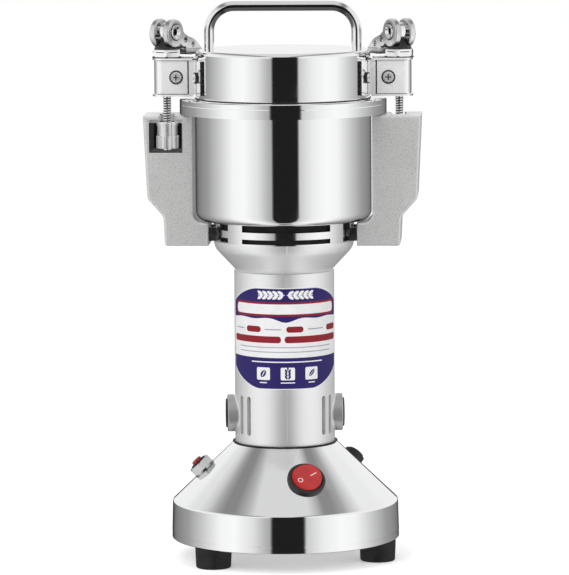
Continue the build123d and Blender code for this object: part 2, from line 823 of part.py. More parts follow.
with BuildPart() as stator_core:
    with BuildSketch(Plane.XY.offset(stator_bottom)):
        Circle(neck_inside - fixed_gap)
        Circle(neck_inside - stator_yoke, mode=Mode.SUBTRACT)
        # two poles, facing the front and the back
        for turned in (motor_yaw, motor_yaw + 180):
            with BuildLine():
                spread = radians(pole_half_angle)
                lean = radians(turned - 90)
                outer, inner = neck_inside - stator_yoke + 0.5, pole_radius
                corners = [(radius * cos(lean + step * spread), radius * sin(lean + step * spread))
                           for radius, step in
                           ((inner, -1), (inner, 0), (inner, 1), (outer, pole_root), (outer, 0),
                            (outer, -pole_root))]
                ThreePointArc(*corners[:3])
                Line(corners[2], corners[3])
                ThreePointArc(*corners[3:])
                Line(corners[5], corners[0])
            make_face()
    extrude(amount=motor_length)
finish(stator_core, "stator_core")

with BuildPart() as field_windings:
    for turned in (motor_yaw + 90, motor_yaw - 90):
        with BuildSketch(radial_plane(turned, (stator_bottom + stator_top) / 2, pole_radius + field_coil_gap)):
            RectangleRounded(field_coil_width, motor_length + 2 * winding_overhang, 3.0)
        extrude(amount=neck_inside - stator_yoke - pole_radius - field_coil_gap - 0.5)
finish(field_windings, "field_windings")

with BuildPart() as armature_core:
    with BuildSketch(Plane.XY.offset(stator_bottom)):
        Circle(armature_radius)
        Circle(shaft_radius + fixed_gap, mode=Mode.SUBTRACT)
        with PolarLocations(armature_radius - armature_slot_inset, armature_slot_count):
            SlotOverall(armature_slot_length, armature_slot_width, mode=Mode.SUBTRACT)
        with PolarLocations(armature_radius, armature_slot_count):
            Rectangle(armature_slot_inset, armature_mouth, mode=Mode.SUBTRACT)
    extrude(amount=motor_length)
finish(armature_core, "armature_core")

with BuildPart() as armature_windings:
    for level, height in ((stator_bottom, -lower_coil_height), (stator_top, upper_coil_height)):
        with BuildSketch(Plane.XY.offset(level)):
            Circle(armature_radius - 1.5)
            Circle(shaft_radius + 1.5, mode=Mode.SUBTRACT)
        extrude(amount=height, taper=12)
    with BuildSketch(Plane.XY.offset(stator_bottom)):
        with PolarLocations(armature_radius - armature_slot_inset, armature_slot_count):
            SlotOverall(armature_slot_length - 2 * fixed_gap, armature_slot_width - 2 * fixed_gap)
    extrude(amount=motor_length)
finish(armature_windings, "armature_windings")

with BuildPart() as commutator:
    with BuildSketch(Plane.XY.offset(brush_level - commutator_length / 2)):
        Circle(commutator_radius)
        Circle(shaft_radius + fixed_gap, mode=Mode.SUBTRACT)
        with PolarLocations(commutator_radius, commutator_bar_count):
            Rectangle(2.4, commutator_groove, mode=Mode.SUBTRACT)
    extrude(amount=commutator_length)
finish(commutator, "commutator")

holder_end = brush_boss_reach - brush_cap_depth
holder_start = commutator_radius + holder_gap

with BuildPart() as brush_holders:
    for azimuth in brush_azimuths:
        with BuildSketch(radial_plane(azimuth, brush_level, holder_start)):
            Circle(brush_holder_radius)
            Rectangle(brush_side + 2 * brush_gap, brush_side + 2 * brush_gap, mode=Mode.SUBTRACT)
        extrude(amount=holder_end - holder_start - fixed_gap)
finish(brush_holders, "brush_holders")

brush_end = commutator_radius + brush_length

with BuildPart() as carbon_brushes:
    for azimuth in brush_azimuths:
        with BuildSketch(radial_plane(azimuth, brush_level, commutator_radius)):
            Rectangle(brush_side, brush_side)
        extrude(amount=brush_end - commutator_radius)
    with BuildSketch(Plane.XY.offset(brush_level - brush_side)):
        Circle(commutator_radius + fixed_gap)
    extrude(amount=2 * brush_side, mode=Mode.SUBTRACT)
finish(carbon_brushes, "carbon_brushes")

with BuildPart() as brush_springs:
    for azimuth in brush_azimuths:
        with BuildSketch(radial_plane(azimuth, brush_level, brush_end + fixed_gap)):
            Circle(brush_side / 2 - spring_gap)
            Circle(brush_side / 2 - spring_gap - spring_wall, mode=Mode.SUBTRACT)
        extrude(amount=holder_end - brush_end - 2 * fixed_gap)
finish(brush_springs, "brush_springs")

with BuildPart() as brush_caps:
    for azimuth in brush_azimuths:
        with BuildSketch(radial_plane(azimuth, brush_level, holder_end)):
            Circle(brush_cap_radius)
        extrude(amount=brush_cap_depth + brush_cap_proud)
        with BuildSketch(radial_plane(azimuth, brush_level, brush_boss_reach + brush_cap_proud)):
            Rectangle(*brush_cap_slot[:2])
        extrude(amount=-brush_cap_slot[2], mode=Mode.SUBTRACT)
finish(brush_caps, "brush_caps")

# ---------------------------------------------------------------- rotor: shaft, fan, blades
lower_blade_level = bowl_floor + bowl_sheet + seal_flange + blade_lift
upper_blade_level = lower_blade_level + blade_sheet + blade_spacing
blade_stack_top = upper_blade_level + blade_sheet
shaft_bottom = lower_bridge_level - bearing_width - shaft_below_bearing
spindle_bottom = upper_bridge_level

with BuildPart() as shaft:
    with BuildSketch(Plane.XY.offset(shaft_bottom)):
        Circle(shaft_radius)
    extrude(amount=blade_stack_top + blade_nut_height - nut_cap - 0.5 - shaft_bottom)
    chamfer(shaft.edges().group_by(Axis.Z)[-1], 0.6)
    with BuildSketch(Plane.XY.offset(spindle_bottom)):
        Circle(spindle_radius)
    extrude(amount=lower_blade_level - spindle_bottom)
finish(shaft, "shaft")

fan_level = bowl_floor - fan_below_bowl - fan_height

with BuildPart() as cooling_fan:
    with BuildSketch(Plane.XY.offset(fan_level)):
        Circle(fan_radius)
        Circle(spindle_radius + fixed_gap, mode=Mode.SUBTRACT)
    extrude(amount=fan_sheet)
    with BuildSketch(Plane.XY.offset(fan_level)):
        Circle(spindle_radius + fan_hub_wall)
        Circle(spindle_radius + fixed_gap, mode=Mode.SUBTRACT)
    extrude(amount=fan_height)
    with BuildSketch(Plane.XY.offset(fan_level + fan_sheet)):
        with PolarLocations(fan_blade_circle, fan_blade_count):
            Rectangle(*fan_blade, rotation=fan_blade_lean)
    extrude(amount=fan_height - fan_sheet)
    with BuildSketch(Plane.XY.offset(fan_level)):
        Circle(fan_radius)
    extrude(amount=fan_height, mode=Mode.INTERSECT)
finish(cooling_fan, "cooling_fan")


def mill_blade(level, turn, tip_bend):
    """A two-ended blade with swept, bevelled tips that are bent up or down."""
    reach = bowl_radius - bowl_sheet - blade_tip_gap
    face = Plane(origin=(0, 0, level), x_dir=(cos(radians(turn)), sin(radians(turn)), 0))
    edge_on = Plane(origin=face.origin, x_dir=face.x_dir, z_dir=face.x_dir.cross(face.z_dir))
    bend = reach - blade_tip_length
    half = blade_width / 2
    with BuildPart() as blade:
        # the bent strip, seen edge-on
        with BuildSketch(edge_on):
            with BuildLine():
                FilletPolyline(
                    (-reach, blade_sheet / 2 + tip_bend),
                    (-bend, blade_sheet / 2),
                    (bend, blade_sheet / 2),
                    (reach, blade_sheet / 2 + tip_bend),
                    radius=blade_tip_bend,
                )
            trace(line_width=blade_sheet)
        extrude(amount=half + 1, both=True)
        # its outline, seen from above: each half turned into the other
        with BuildSketch(face.offset(-20)):
            with BuildLine():
                Polyline(
                    (half, -half), (reach - 3, -half), (reach, -half + blade_tip_bevel),
                    (bend, half * 0.75), (half, half), (-half, half),
                    (-reach + 3, half), (-reach, half - blade_tip_bevel), (-bend, -half * 0.75),
                    (-half, -half), close=True,
                )
            make_face()
        extrude(amount=40, mode=Mode.INTERSECT)
        with BuildSketch(face.offset(-1)):
            Circle(shaft_radius + fixed_gap)
        extrude(amount=blade_sheet + 2, mode=Mode.SUBTRACT)
    return blade


finish(mill_blade(lower_blade_level, lower_blade_turn, -lower_blade_drop), "lower_blade")
finish(mill_blade(upper_blade_level, upper_blade_turn, upper_blade_rise), "upper_blade")

with BuildPart() as blade_spacer:
    with BuildSketch(Plane.XY.offset(lower_blade_level + blade_sheet)):
        Circle(blade_spacer_radius)
        Circle(shaft_radius + fixed_gap, mode=Mode.SUBTRACT)
    extrude(amount=blade_spacing)
finish(blade_spacer, "blade_spacer")

with BuildPart() as blade_nut:
    with BuildSketch(Plane.XY.offset(blade_stack_top)):
        RegularPolygon(blade_nut_flats / 2, 6, major_radius=False)
    extrude(amount=blade_nut_height)
    with BuildSketch(Plane.XY.offset(blade_stack_top + blade_nut_height)):
        Circle(blade_nut_flats / 2 - 0.2)
    extrude(amount=-blade_nut_height, taper=-30, mode=Mode.INTERSECT)
    with BuildSketch(Plane.XY.offset(blade_stack_top)):
        Circle(shaft_radius + fixed_gap)
    extrude(amount=blade_nut_height - nut_cap, mode=Mode.SUBTRACT)
finish(blade_nut, "blade_nut")

# ---------------------------------------------------------------- bowl
with BuildPart() as bowl:
    sheet = bowl_sheet / 2
    rim = bowl_rim - sheet
    with BuildSketch(Plane.XZ):
        with BuildLine():
            FilletPolyline(
                (seal_radius + fixed_gap, bowl_floor + sheet),
                (bowl_radius - sheet, bowl_floor + sheet),
                (bowl_radius - sheet, rim),
                (bowl_radius + bowl_rim_reach - sheet, rim),
                (bowl_radius + bowl_rim_reach - sheet, rim - bowl_rim_turn_down),
                radius=[bowl_corner_radius, bowl_rim_bend, bowl_rim_bend],
            )
        trace(line_width=bowl_sheet)
    revolve(axis=Axis.Z)
    for azimuth in boss_azimuths:
        with BuildSketch(Plane(around(azimuth, bowl_screw_circle, bowl_floor))):
            Circle(screw_radius + fixed_gap)
        extrude(amount=bowl_sheet, mode=Mode.SUBTRACT)
finish(bowl, "bowl")

with BuildPart() as bowl_screws:
    for azimuth in boss_azimuths:
        head_seat = Plane(around(azimuth, bowl_screw_circle, bowl_floor + bowl_sheet))
        with BuildSketch(head_seat):
            Circle(bowl_screw_head_radius)
        extrude(amount=bowl_screw_head, taper=20)
        with BuildSketch(head_seat):
            Circle(screw_radius)
        extrude(amount=-bowl_screw_length)
finish(bowl_screws, "bowl_screws")

with BuildPart() as shaft_seal:
    with BuildSketch(Plane.XY.offset(bowl_floor + bowl_sheet)):
        Circle(seal_flange_radius)
    extrude(amount=seal_flange)
    chamfer(shaft_seal.edges().group_by(Axis.Z)[-1], seal_chamfer)
    with BuildSketch(Plane.XY.offset(bowl_floor + bowl_sheet)):
        Circle(seal_radius)
    extrude(amount=-bowl_sheet - seal_below_floor)
    with BuildSketch(Plane.XY.offset(bowl_floor - 2 * seal_below_floor)):
        Circle(spindle_radius + running_gap)
    extrude(amount=20, mode=Mode.SUBTRACT)
finish(shaft_seal, "shaft_seal")

# ---------------------------------------------------------------- lid
with BuildPart() as lid_shell:
    sheet = lid_sheet / 2
    shelf = collar_top - sheet
    with BuildSketch(Plane.XZ):
        # the skirt and the flat top
        with BuildLine():
            skirt = Line((lid_radius - sheet, shelf), (lid_radius - sheet, lid_top - lid_edge_radius))
            edge = TangentArc(
                skirt @ 1, (lid_radius - lid_edge_radius - sheet, lid_top - sheet),
                tangent=(0, 1),
            )
            Line(edge @ 1, (0, lid_top - sheet))
        trace(line_width=lid_sheet)
        # the collar that closes over the bowl's rim
        with BuildLine():
            FilletPolyline(
                (lid_radius - lid_sheet, shelf),
                (collar_radius - sheet, shelf),
                (collar_radius - sheet, collar_bottom),
                radius=collar_edge_radius,
            )
        trace(line_width=lid_sheet)
    revolve(axis=Axis.Z)
    with BuildSketch(Plane.XY.offset(lid_top - 3)):
        with GridLocations(2 * handle_half_width, 0, 2, 1):
            Circle(handle_rod_radius + fixed_gap)
    extrude(amount=6, mode=Mode.SUBTRACT)
    for _, side in sides:
        for sign in (-1, 1):
            azimuth = side * (90 + sign * ear_tab_screw_angle)
            with BuildSketch(radial_plane(azimuth, (ear_bottom + ear_top) / 2)):
                Circle(tab_screw_radius + fixed_gap)
            extrude(amount=lid_radius + 2, mode=Mode.SUBTRACT)
finish(lid_shell, "lid_shell")

with BuildPart() as lid_gasket:
    with BuildSketch(Plane.XZ):
        with BuildLine():
            Polyline(
                (lid_radius + lid_sheet, bowl_rim + moving_gap),
                (bowl_radius + bowl_rim_reach, bowl_rim + moving_gap),
                (collar_radius - lid_sheet - collar_edge_radius + 0.5, collar_top - lid_sheet),
                (lid_radius - 0.5, collar_top - lid_sheet),
                close=True,
            )
        make_face()
    revolve(axis=Axis.Z)
finish(lid_gasket, "lid_gasket")

handle_bottom = lid_top - lid_sheet - handle_stud_length

with BuildPart() as lid_handle:
    with BuildLine(Plane.XZ):
        FilletPolyline(
            (-handle_half_width, lid_top),
            (-handle_half_width, lid_top + handle_height),
            (handle_half_width, lid_top + handle_height),
            (handle_half_width, lid_top),
            radius=handle_bend_radius,
        )
    with BuildSketch(Plane((-handle_half_width, 0, lid_top))):
        Circle(handle_rod_radius)
    sweep()
    with BuildSketch(Plane.XY.offset(lid_top)):
        with GridLocations(2 * handle_half_width, 0, 2, 1):
            Circle(handle_stud_radius)
    extrude(amount=handle_bottom - lid_top)
finish(lid_handle, "lid_handle")

# ---------------------------------------------------------------- ears
half_ear = ear_width / 2
ear_wall_bottom = ear_bottom + ear_cap_sheet
ear_wall_top = ear_top - ear_cap_sheet
tab_radius = lid_radius + fixed_gap
ear_screw_level = (ear_bottom + ear_top) / 2

with BuildPart() as ear_right:
    with BuildSketch(Plane.XY.offset(ear_wall_bottom)):
        # a channel, closed at its outer end, open to the lid
        with Locations((ear_reach / 2, 0)):
            Rectangle(ear_reach, ear_width)
        fillet([v for v in vertices() if v.X > 1], ear_corner_radius)
        with Locations((ear_reach / 2 - ear_sheet, 0)):
            RectangleRounded(ear_reach, ear_width - 2 * ear_sheet,
                             ear_corner_radius - ear_sheet, mode=Mode.SUBTRACT)
        # tabs that lie on the lid's skirt
        for sign in (-1, 1):
            with BuildLine():
                start, end = sign * ear_tab_start, sign * ear_tab_end
                near = CenterArc((0, 0), tab_radius, start, end - start)
                far = CenterArc((0, 0), tab_radius + ear_sheet, start, end - start)
                Line(near @ 0, far @ 0)
                Line(near @ 1, far @ 1)
            make_face()
        Circle(tab_radius, mode=Mode.SUBTRACT)
    extrude(amount=ear_wall_top - ear_wall_bottom)
    for sign in (-1, 1):
        with BuildSketch(radial_plane(90 + sign * ear_tab_screw_angle, ear_screw_level)):
            Circle(tab_screw_radius + fixed_gap)
        extrude(amount=lid_radius + 5, mode=Mode.SUBTRACT)
    with BuildSketch(Plane.XZ.offset(-half_ear - 1)):
        with Locations((ear_screw_reach, ear_screw_level)):
            Circle(ear_screw_radius + fixed_gap)
    extrude(amount=ear_width + 2, mode=Mode.SUBTRACT)
finish(ear_right, "ear_right")

with BuildPart() as ear_left:
    add(mirror(ear_right.part, about=Plane.YZ))
finish(ear_left, "ear_left")

with BuildPart() as ear_caps:
    overhang = ear_cap_overhang
    for level in (ear_bottom, ear_wall_top):
        for _, side in sides:
            with BuildSketch(Plane.XY.offset(level)):
                with Locations((side * (ear_reach + overhang) / 2, 0)):
                    Rectangle(ear_reach + overhang, ear_width + 2 * overhang)
                fillet([v for v in vertices() if abs(v.X) > 1], ear_corner_radius + overhang)
                Circle(lid_radius + ear_cap_lid_gap, mode=Mode.SUBTRACT)
                with Locations((side * rod_circle, 0)):
                    Circle(rod_radius + moving_gap, mode=Mode.SUBTRACT)
            extrude(amount=ear_cap_sheet)
finish(ear_caps, "ear_caps")

with BuildPart() as lid_fasteners:
    for _, side in sides:
        for sign in (-1, 1):
            # pan-head screws in the ear's walls and through its tabs
            places = (
                (Plane((side * ear_screw_reach, sign * half_ear, ear_screw_level),
                       z_dir=(0, sign, 0)), ear_screw_head_radius, ear_screw_radius,
                 ear_screw_head, ear_screw_length),
                (radial_plane(side * (90 + sign * ear_tab_screw_angle), ear_screw_level,
                              tab_radius + ear_sheet), tab_screw_head_radius, tab_screw_radius,
                 tab_screw_head, tab_screw_length),
            )
            for face, head_radius, shank_radius, head, length in places:
                with BuildSketch(face):
                    Circle(head_radius)
                extrude(amount=head, taper=22)
                with BuildSketch(face):
                    Circle(shank_radius)
                extrude(amount=-length)
                with BuildSketch(face.offset(head)):
                    Rectangle(head_radius, screw_cross)
                    Rectangle(screw_cross, head_radius)
                extrude(amount=-screw_cross_depth, mode=Mode.SUBTRACT)
    # nuts under the lid's top hold the handle
    with BuildSketch(Plane.XY.offset(lid_top - lid_sheet)):
        with GridLocations(2 * handle_half_width, 0, 2, 1):
            RegularPolygon(handle_nut_flats / 2, 6, major_radius=False)
            Circle(handle_stud_radius + fixed_gap, mode=Mode.SUBTRACT)
    extrude(amount=-handle_nut_height)
finish(lid_fasteners, "lid_fasteners")

# ---------------------------------------------------------------- clamps
knurled_nut_top = window_top - nut_under_plate
rod_bottom = bracket_top - rod_end_below_bracket_top
cam_inner = cam_spacing / 2 - cam_thickness / 2
cam_outer = cam_spacing / 2 + cam_thickness / 2
cradle_radius = cam_radius + cam_offset + moving_gap


def clamp_rod(side):
    """A threaded rod with an eye for the lever's pin."""
    plane = lever_plane(side)
    with BuildPart() as rod:
        with BuildSketch(Plane((side * rod_circle, 0, rod_bottom))):
            Circle(rod_radius)
        extrude(amount=pin_height - rod_bottom)
        chamfer(rod.edges().group_by(Axis.Z)[0], rod_end_chamfer)
        with BuildSketch(plane):
            Circle(eye_radius)
        extrude(amount=eye_width / 2, both=True)
        with BuildSketch(plane):
            Circle(pin_radius + running_gap)
        extrude(amount=eye_width, both=True, mode=Mode.SUBTRACT)
    return rod


def clamp_nut(side):
    """The hexagonal nut under the cam seat, chamfered on both faces."""
    x = side * rod_circle
    flats = clamp_nut_flats / 2
    with BuildPart() as nut:
        with BuildSketch(Plane((x, 0, clamp_nut_bottom))):
            RegularPolygon(flats, 6, major_radius=False, rotation=30 - side * clamp_nut_turn)
        extrude(amount=clamp_nut_height)
        with BuildSketch(Plane((x, 0, clamp_nut_bottom))):
            Circle(flats + 0.3)
        extrude(amount=clamp_nut_height, taper=-35, mode=Mode.INTERSECT)
        with BuildSketch(Plane((x, 0, clamp_nut_top))):
            Circle(flats + 0.3)
        extrude(amount=-clamp_nut_height, taper=-35, mode=Mode.INTERSECT)
        with BuildSketch(Plane((x, 0, clamp_nut_bottom))):
            Circle(rod_radius + running_gap)
        extrude(amount=clamp_nut_height, mode=Mode.SUBTRACT)
    return nut


def cam_seat(side):
    """The loose cone that the cam discs press on, with a cradle cut for each disc."""
    x = side * rod_circle
    plane = lever_plane(side)
    with BuildPart() as seat:
        with BuildSketch(Plane.XZ):
            with BuildLine():
                Polyline(
                    (x, clamp_nut_top),
                    (x + cam_seat_radius, clamp_nut_top),
                    (x + cam_seat_radius - 0.4, clamp_nut_top + 1.4),
                    (x + eye_width / 2 + 1.2, clamp_nut_top + cam_seat_height),
                    (x, clamp_nut_top + cam_seat_height),
                    close=True,
                )
            make_face()
        revolve(axis=Axis((x, 0, 0), (0, 0, 1)))
        with BuildSketch(Plane((x, 0, clamp_nut_top))):
            Circle(rod_radius + moving_gap)
        extrude(amount=cam_seat_height, mode=Mode.SUBTRACT)
        for face in (-1, 1):
            with BuildSketch(plane.offset(face * (cam_inner - moving_gap))):
                Circle(cradle_radius)
            extrude(amount=face * cam_seat_radius, mode=Mode.SUBTRACT)
        with BuildSketch(plane):
            Circle(eye_radius + moving_gap)
        extrude(amount=eye_width / 2 + moving_gap, both=True, mode=Mode.SUBTRACT)
    return seat


def cam_lever(side):
    """Two eccentric discs, two pierced arms and the thumb pad that joins them."""
    plane = lever_plane(side)
    tip_x, tip_y = lever_length, -lever_drop
    with BuildPart() as lever:
        for face in (-1, 1):
            inner_face = plane.offset(face * cam_inner)
            with BuildSketch(inner_face):
                with Locations((0, -cam_offset)):
                    Circle(cam_radius)
            extrude(amount=face * cam_thickness)
        fillet(lever.edges().filter_by(GeomType.CIRCLE), cam_edge_round)
        for face in (-1, 1):
            arm_face = plane.offset(face * (cam_outer - arm_overlap))
            with BuildSketch(arm_face):
                with BuildLine():
                    top = Spline(
                        (4.5, 5.2), (8.2, 0.2), (12.8, -2.6), (19.0, -4.6), (24.0, -7.4),
                        (tip_x, tip_y),
                    )
                    low = Spline(
                        top @ 1, (25.0, -12.2), (19.6, -11.6), (15.2, -9.9), (10.8, -9.4),
                        (6.0, -7.0),
                    )
                    Line(low @ 1, top @ 0)
                make_face()
                with Locations((11.0, -5.0), (18.8, -8.0)):
                    Circle(lever_hole_radius, mode=Mode.SUBTRACT)
            extrude(amount=-face * arm_sheet)
        with BuildSketch(plane):
            with BuildLine():
                upper = Spline((10.2, -9.1), (15.2, -9.6), (19.6, -11.2), (25.0, -11.9),
                               (tip_x - 0.4, tip_y - 0.2))
                lower = Spline(upper @ 1, (26.6, -13.2), (19.0, -14.0), (12.6, -13.8),
                               (10.4, -12.6))
                Line(lower @ 1, upper @ 0)
            make_face()
        extrude(amount=pad_width / 2, both=True)
        with BuildSketch(plane):
            Circle(pin_radius + fixed_gap)
        extrude(amount=cam_outer + 1, both=True, mode=Mode.SUBTRACT)
    return lever


def lever_pin(side):
    """The hollow rivet that carries the lever in the rod's eye."""
    plane = lever_plane(side)
    with BuildPart() as pin:
        with BuildSketch(plane):
            Circle(pin_radius)
        extrude(amount=cam_outer, both=True)
        for face in (-1, 1):
            with BuildSketch(plane.offset(face * cam_outer)):
                Circle(pin_head_radius)
            extrude(amount=face * pin_head, taper=15)
        with BuildSketch(plane):
            Circle(pin_bore_radius)
        extrude(amount=cam_outer + pin_head, both=True, mode=Mode.SUBTRACT)
        # the rivet's ends are dished
        chamfer(pin.edges().filter_by(GeomType.CIRCLE).filter_by(
            lambda edge: abs(edge.radius - pin_bore_radius) < 0.01), pin_dish)
    return pin


def knurled_nut(side):
    """The tightening nut: knurled band, plain barrel and a thin lip on top."""
    x = side * rod_circle
    barrel_bottom = knurled_nut_top - nut_lip_height - barrel_height
    with BuildPart() as nut:
        with BuildSketch(Plane((x, 0, knurled_nut_top))):
            Circle(nut_lip_radius)
        extrude(amount=-nut_lip_height)
        with BuildSketch(Plane((x, 0, knurled_nut_top - nut_lip_height))):
            Circle(barrel_radius)
        extrude(amount=-barrel_height)
        with BuildSketch(Plane((x, 0, barrel_bottom))):
            Circle(knurl_radius)
            with PolarLocations(knurl_radius + knurl_groove / 2, knurl_count):
                Circle(knurl_groove, mode=Mode.SUBTRACT)
        extrude(amount=-knurl_height)
        with BuildSketch(Plane((x, 0, knurled_nut_top))):
            Circle(rod_radius + running_gap)
        extrude(amount=-nut_lip_height - barrel_height - knurl_height, mode=Mode.SUBTRACT)
    return nut


clamp_pieces = (
    ("clamp_rod", clamp_rod),
    ("clamp_nut", clamp_nut),
    ("cam_seat", cam_seat),
    ("cam_lever", cam_lever),
    ("lever_pin", lever_pin),
    ("knurled_nut", knurled_nut),
)
for side_name, side in sides:
    for piece_name, make_piece in clamp_pieces:
        finish(make_piece(side), f"{piece_name}_{side_name}")

# ---------------------------------------------------------------- cast brackets
bracket_inner = bowl_radius + bracket_bowl_gap
foot_inner = vent_radius + bracket_foot_gap
shoulder = bowl_floor + bracket_shoulder_rise
ankle = shoulder - bracket_shoulder_height
under_bowl = bowl_floor - bracket_bowl_gap
curl_radius = bowl_corner_radius + bracket_bowl_gap
bolt_level = bracket_bottom + bracket_bolt_height

with BuildPart() as bracket_right:
    # the casting's front view
    with BuildSketch(Plane.XZ):
        with BuildLine():
            inner_side = Polyline(
                (bracket_inner, under_bowl + curl_radius),
                (bracket_inner, bracket_top),
                (bracket_reach, bracket_top),
                (bracket_reach - bracket_taper, shoulder),
                (bracket_foot_reach, ankle),
                (bracket_foot_reach - bracket_foot_taper, bracket_bottom),
                (foot_inner, bracket_bottom),
                (foot_inner, under_bowl),
                (bracket_inner - curl_radius, under_bowl),
            )
            TangentArc(inner_side @ 1, inner_side @ 0, tangent=(1, 0))
        make_face()
        fillet(vertices().sort_by_distance((bracket_reach - bracket_taper, shoulder))[0], bracket_bend)
        fillet(vertices().sort_by_distance((bracket_foot_reach, ankle))[0], bracket_bend)
        toe = (bracket_foot_reach - bracket_foot_taper, bracket_bottom)
        fillet(vertices().sort_by_distance(toe)[0], bracket_toe_round)
    extrude(amount=bracket_half_depth, both=True)
    fillet(bracket_right.edges().filter_by(
        lambda edge: abs(abs(edge.center().Y) - bracket_half_depth) < 0.01), bracket_edge_round)
    # hollow from below, as it was drawn from its mould
    with BuildSketch(Plane.XZ):
        with BuildLine():
            wall = bracket_wall
            Polyline(
                (foot_inner + wall, bracket_bottom),
                (foot_inner + wall, under_bowl - wall),
                (bracket_inner + wall, under_bowl + curl_radius),
                (bracket_inner + wall, window_bottom - wall),
                (bracket_reach - bracket_taper - wall + bracket_foot_taper, window_bottom - wall),
                (bracket_reach - bracket_taper - wall, shoulder + 1.0),
                (bracket_foot_reach - wall, ankle),
                (bracket_foot_reach - bracket_foot_taper - wall, bracket_bottom),
                close=True,
            )
        make_face()
    extrude(amount=bracket_half_depth - wall, both=True, mode=Mode.SUBTRACT)
    # the window that the knurled nut works in, open on one side
    depth = 2 * bracket_half_depth - window_back_wall
    with BuildSketch(Plane.XZ.offset(-bracket_half_depth)):
        with Locations((rod_circle, (window_bottom + window_top) / 2)):
            Rectangle(2 * window_half_width, window_height)
    extrude(amount=depth, mode=Mode.SUBTRACT)
    # the rod and its nut leave by the open side on the rod's circle as the lid turns
    slot_end = degrees(asin(bracket_half_depth / rod_circle))
    with BuildSketch(Plane.XY.offset(window_bottom)):
        SlotArc(CenterArc((0, 0), rod_circle, 0, slot_end + 5, mode=Mode.PRIVATE),
                2 * (knurl_radius + nut_path_gap))
    extrude(amount=window_height, mode=Mode.SUBTRACT)
    with BuildSketch(Plane.XZ.offset(-bracket_half_depth)):
        with Locations((rod_circle, window_top + window_lip_height / 2)):
            Rectangle(2 * window_half_width, window_lip_height)
    extrude(amount=window_lip_depth, mode=Mode.SUBTRACT)
    mouth_x = rod_circle * cos(radians(slot_end))
    half_slot = rod_radius + slot_gap
    with BuildSketch(Plane.XY.offset(window_top)):
        SlotArc(CenterArc((0, 0), rod_circle, 0, slot_end + 5, mode=Mode.PRIVATE), 2 * half_slot)
        with BuildLine():
            wide = half_slot + slot_mouth_widening
            Polyline(
                (mouth_x - wide, bracket_half_depth),
                (mouth_x + wide, bracket_half_depth),
                (mouth_x + half_slot, bracket_half_depth - slot_mouth_depth),
                (mouth_x - half_slot, bracket_half_depth - slot_mouth_depth),
                close=True,
            )
        make_face()
    extrude(amount=bracket_plate, mode=Mode.SUBTRACT)
    # bolt holes in the foot's inner wall
    with BuildSketch(Plane.YZ.offset(foot_inner)):
        with Locations((0, bolt_level)):
            with GridLocations(bracket_bolt_spacing, 0, 2, 1):
                Circle(bracket_bolt_radius + fixed_gap)
    extrude(amount=bracket_wall, mode=Mode.SUBTRACT)
finish(bracket_right, "bracket_right")

with BuildPart() as bracket_left:
    add(bracket_right.part.rotate(Axis.Z, 180))
finish(bracket_left, "bracket_left")

with BuildPart() as bracket_bolts:
    for _, side in sides:
        head_seat = Plane((side * (foot_inner + bracket_wall), 0, bolt_level),
                          x_dir=(0, 1, 0), z_dir=(side, 0, 0))
        with BuildSketch(head_seat):
            with GridLocations(bracket_bolt_spacing, 0, 2, 1):
                Circle(bracket_bolt_head_radius)
                RegularPolygon(bracket_bolt_socket, 6, mode=Mode.SUBTRACT)
        extrude(amount=bracket_bolt_head)
        with BuildSketch(head_seat):
            with GridLocations(bracket_bolt_spacing, 0, 2, 1):
                Circle(bracket_bolt_radius)
        extrude(amount=-(bracket_wall + bracket_foot_gap + bracket_bolt_grip))
finish(bracket_bolts, "bracket_bolts")

with BuildPart() as bracket_spacers:
    for _, side in sides:
        inner_wall = Plane((side * foot_inner, 0, bolt_level), x_dir=(0, 1, 0), z_dir=(side, 0, 0))
        with BuildSketch(inner_wall):
            with GridLocations(bracket_bolt_spacing, 0, 2, 1):
                RegularPolygon(spacer_nut_flats / 2, 6, major_radius=False)
                Circle(bracket_bolt_radius + fixed_gap, mode=Mode.SUBTRACT)
        extrude(amount=-6)
    with BuildSketch(Plane.XY.offset(bracket_bottom)):
        Circle(vent_radius + fixed_gap)
    extrude(amount=bracket_top - bracket_bottom, mode=Mode.SUBTRACT)
finish(bracket_spacers, "bracket_spacers")
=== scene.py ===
import json
from math import atan2, cos, degrees, exp, pi, radians, sin, sqrt, tan

import bpy
from mathutils import Matrix, Vector


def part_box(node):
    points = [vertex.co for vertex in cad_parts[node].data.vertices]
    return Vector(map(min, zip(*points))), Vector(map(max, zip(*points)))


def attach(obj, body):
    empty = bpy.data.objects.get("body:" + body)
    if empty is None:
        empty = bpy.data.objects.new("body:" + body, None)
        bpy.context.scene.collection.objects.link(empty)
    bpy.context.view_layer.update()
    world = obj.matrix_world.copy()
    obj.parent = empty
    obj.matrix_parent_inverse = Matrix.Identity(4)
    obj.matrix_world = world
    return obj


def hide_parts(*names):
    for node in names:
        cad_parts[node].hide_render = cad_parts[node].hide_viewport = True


# Electric grain mill: finishes, fine pieces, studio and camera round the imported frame.
# Named lengths are millimetres and angles degrees; mm turns lengths into the frame's metres.

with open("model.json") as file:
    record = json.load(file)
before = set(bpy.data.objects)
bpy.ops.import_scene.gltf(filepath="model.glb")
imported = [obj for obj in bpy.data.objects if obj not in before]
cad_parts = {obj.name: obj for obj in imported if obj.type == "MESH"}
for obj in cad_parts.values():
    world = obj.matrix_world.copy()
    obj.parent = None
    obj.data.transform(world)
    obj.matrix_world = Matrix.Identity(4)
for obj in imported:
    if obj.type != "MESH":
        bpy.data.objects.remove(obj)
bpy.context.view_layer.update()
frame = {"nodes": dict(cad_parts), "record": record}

mm = 0.001

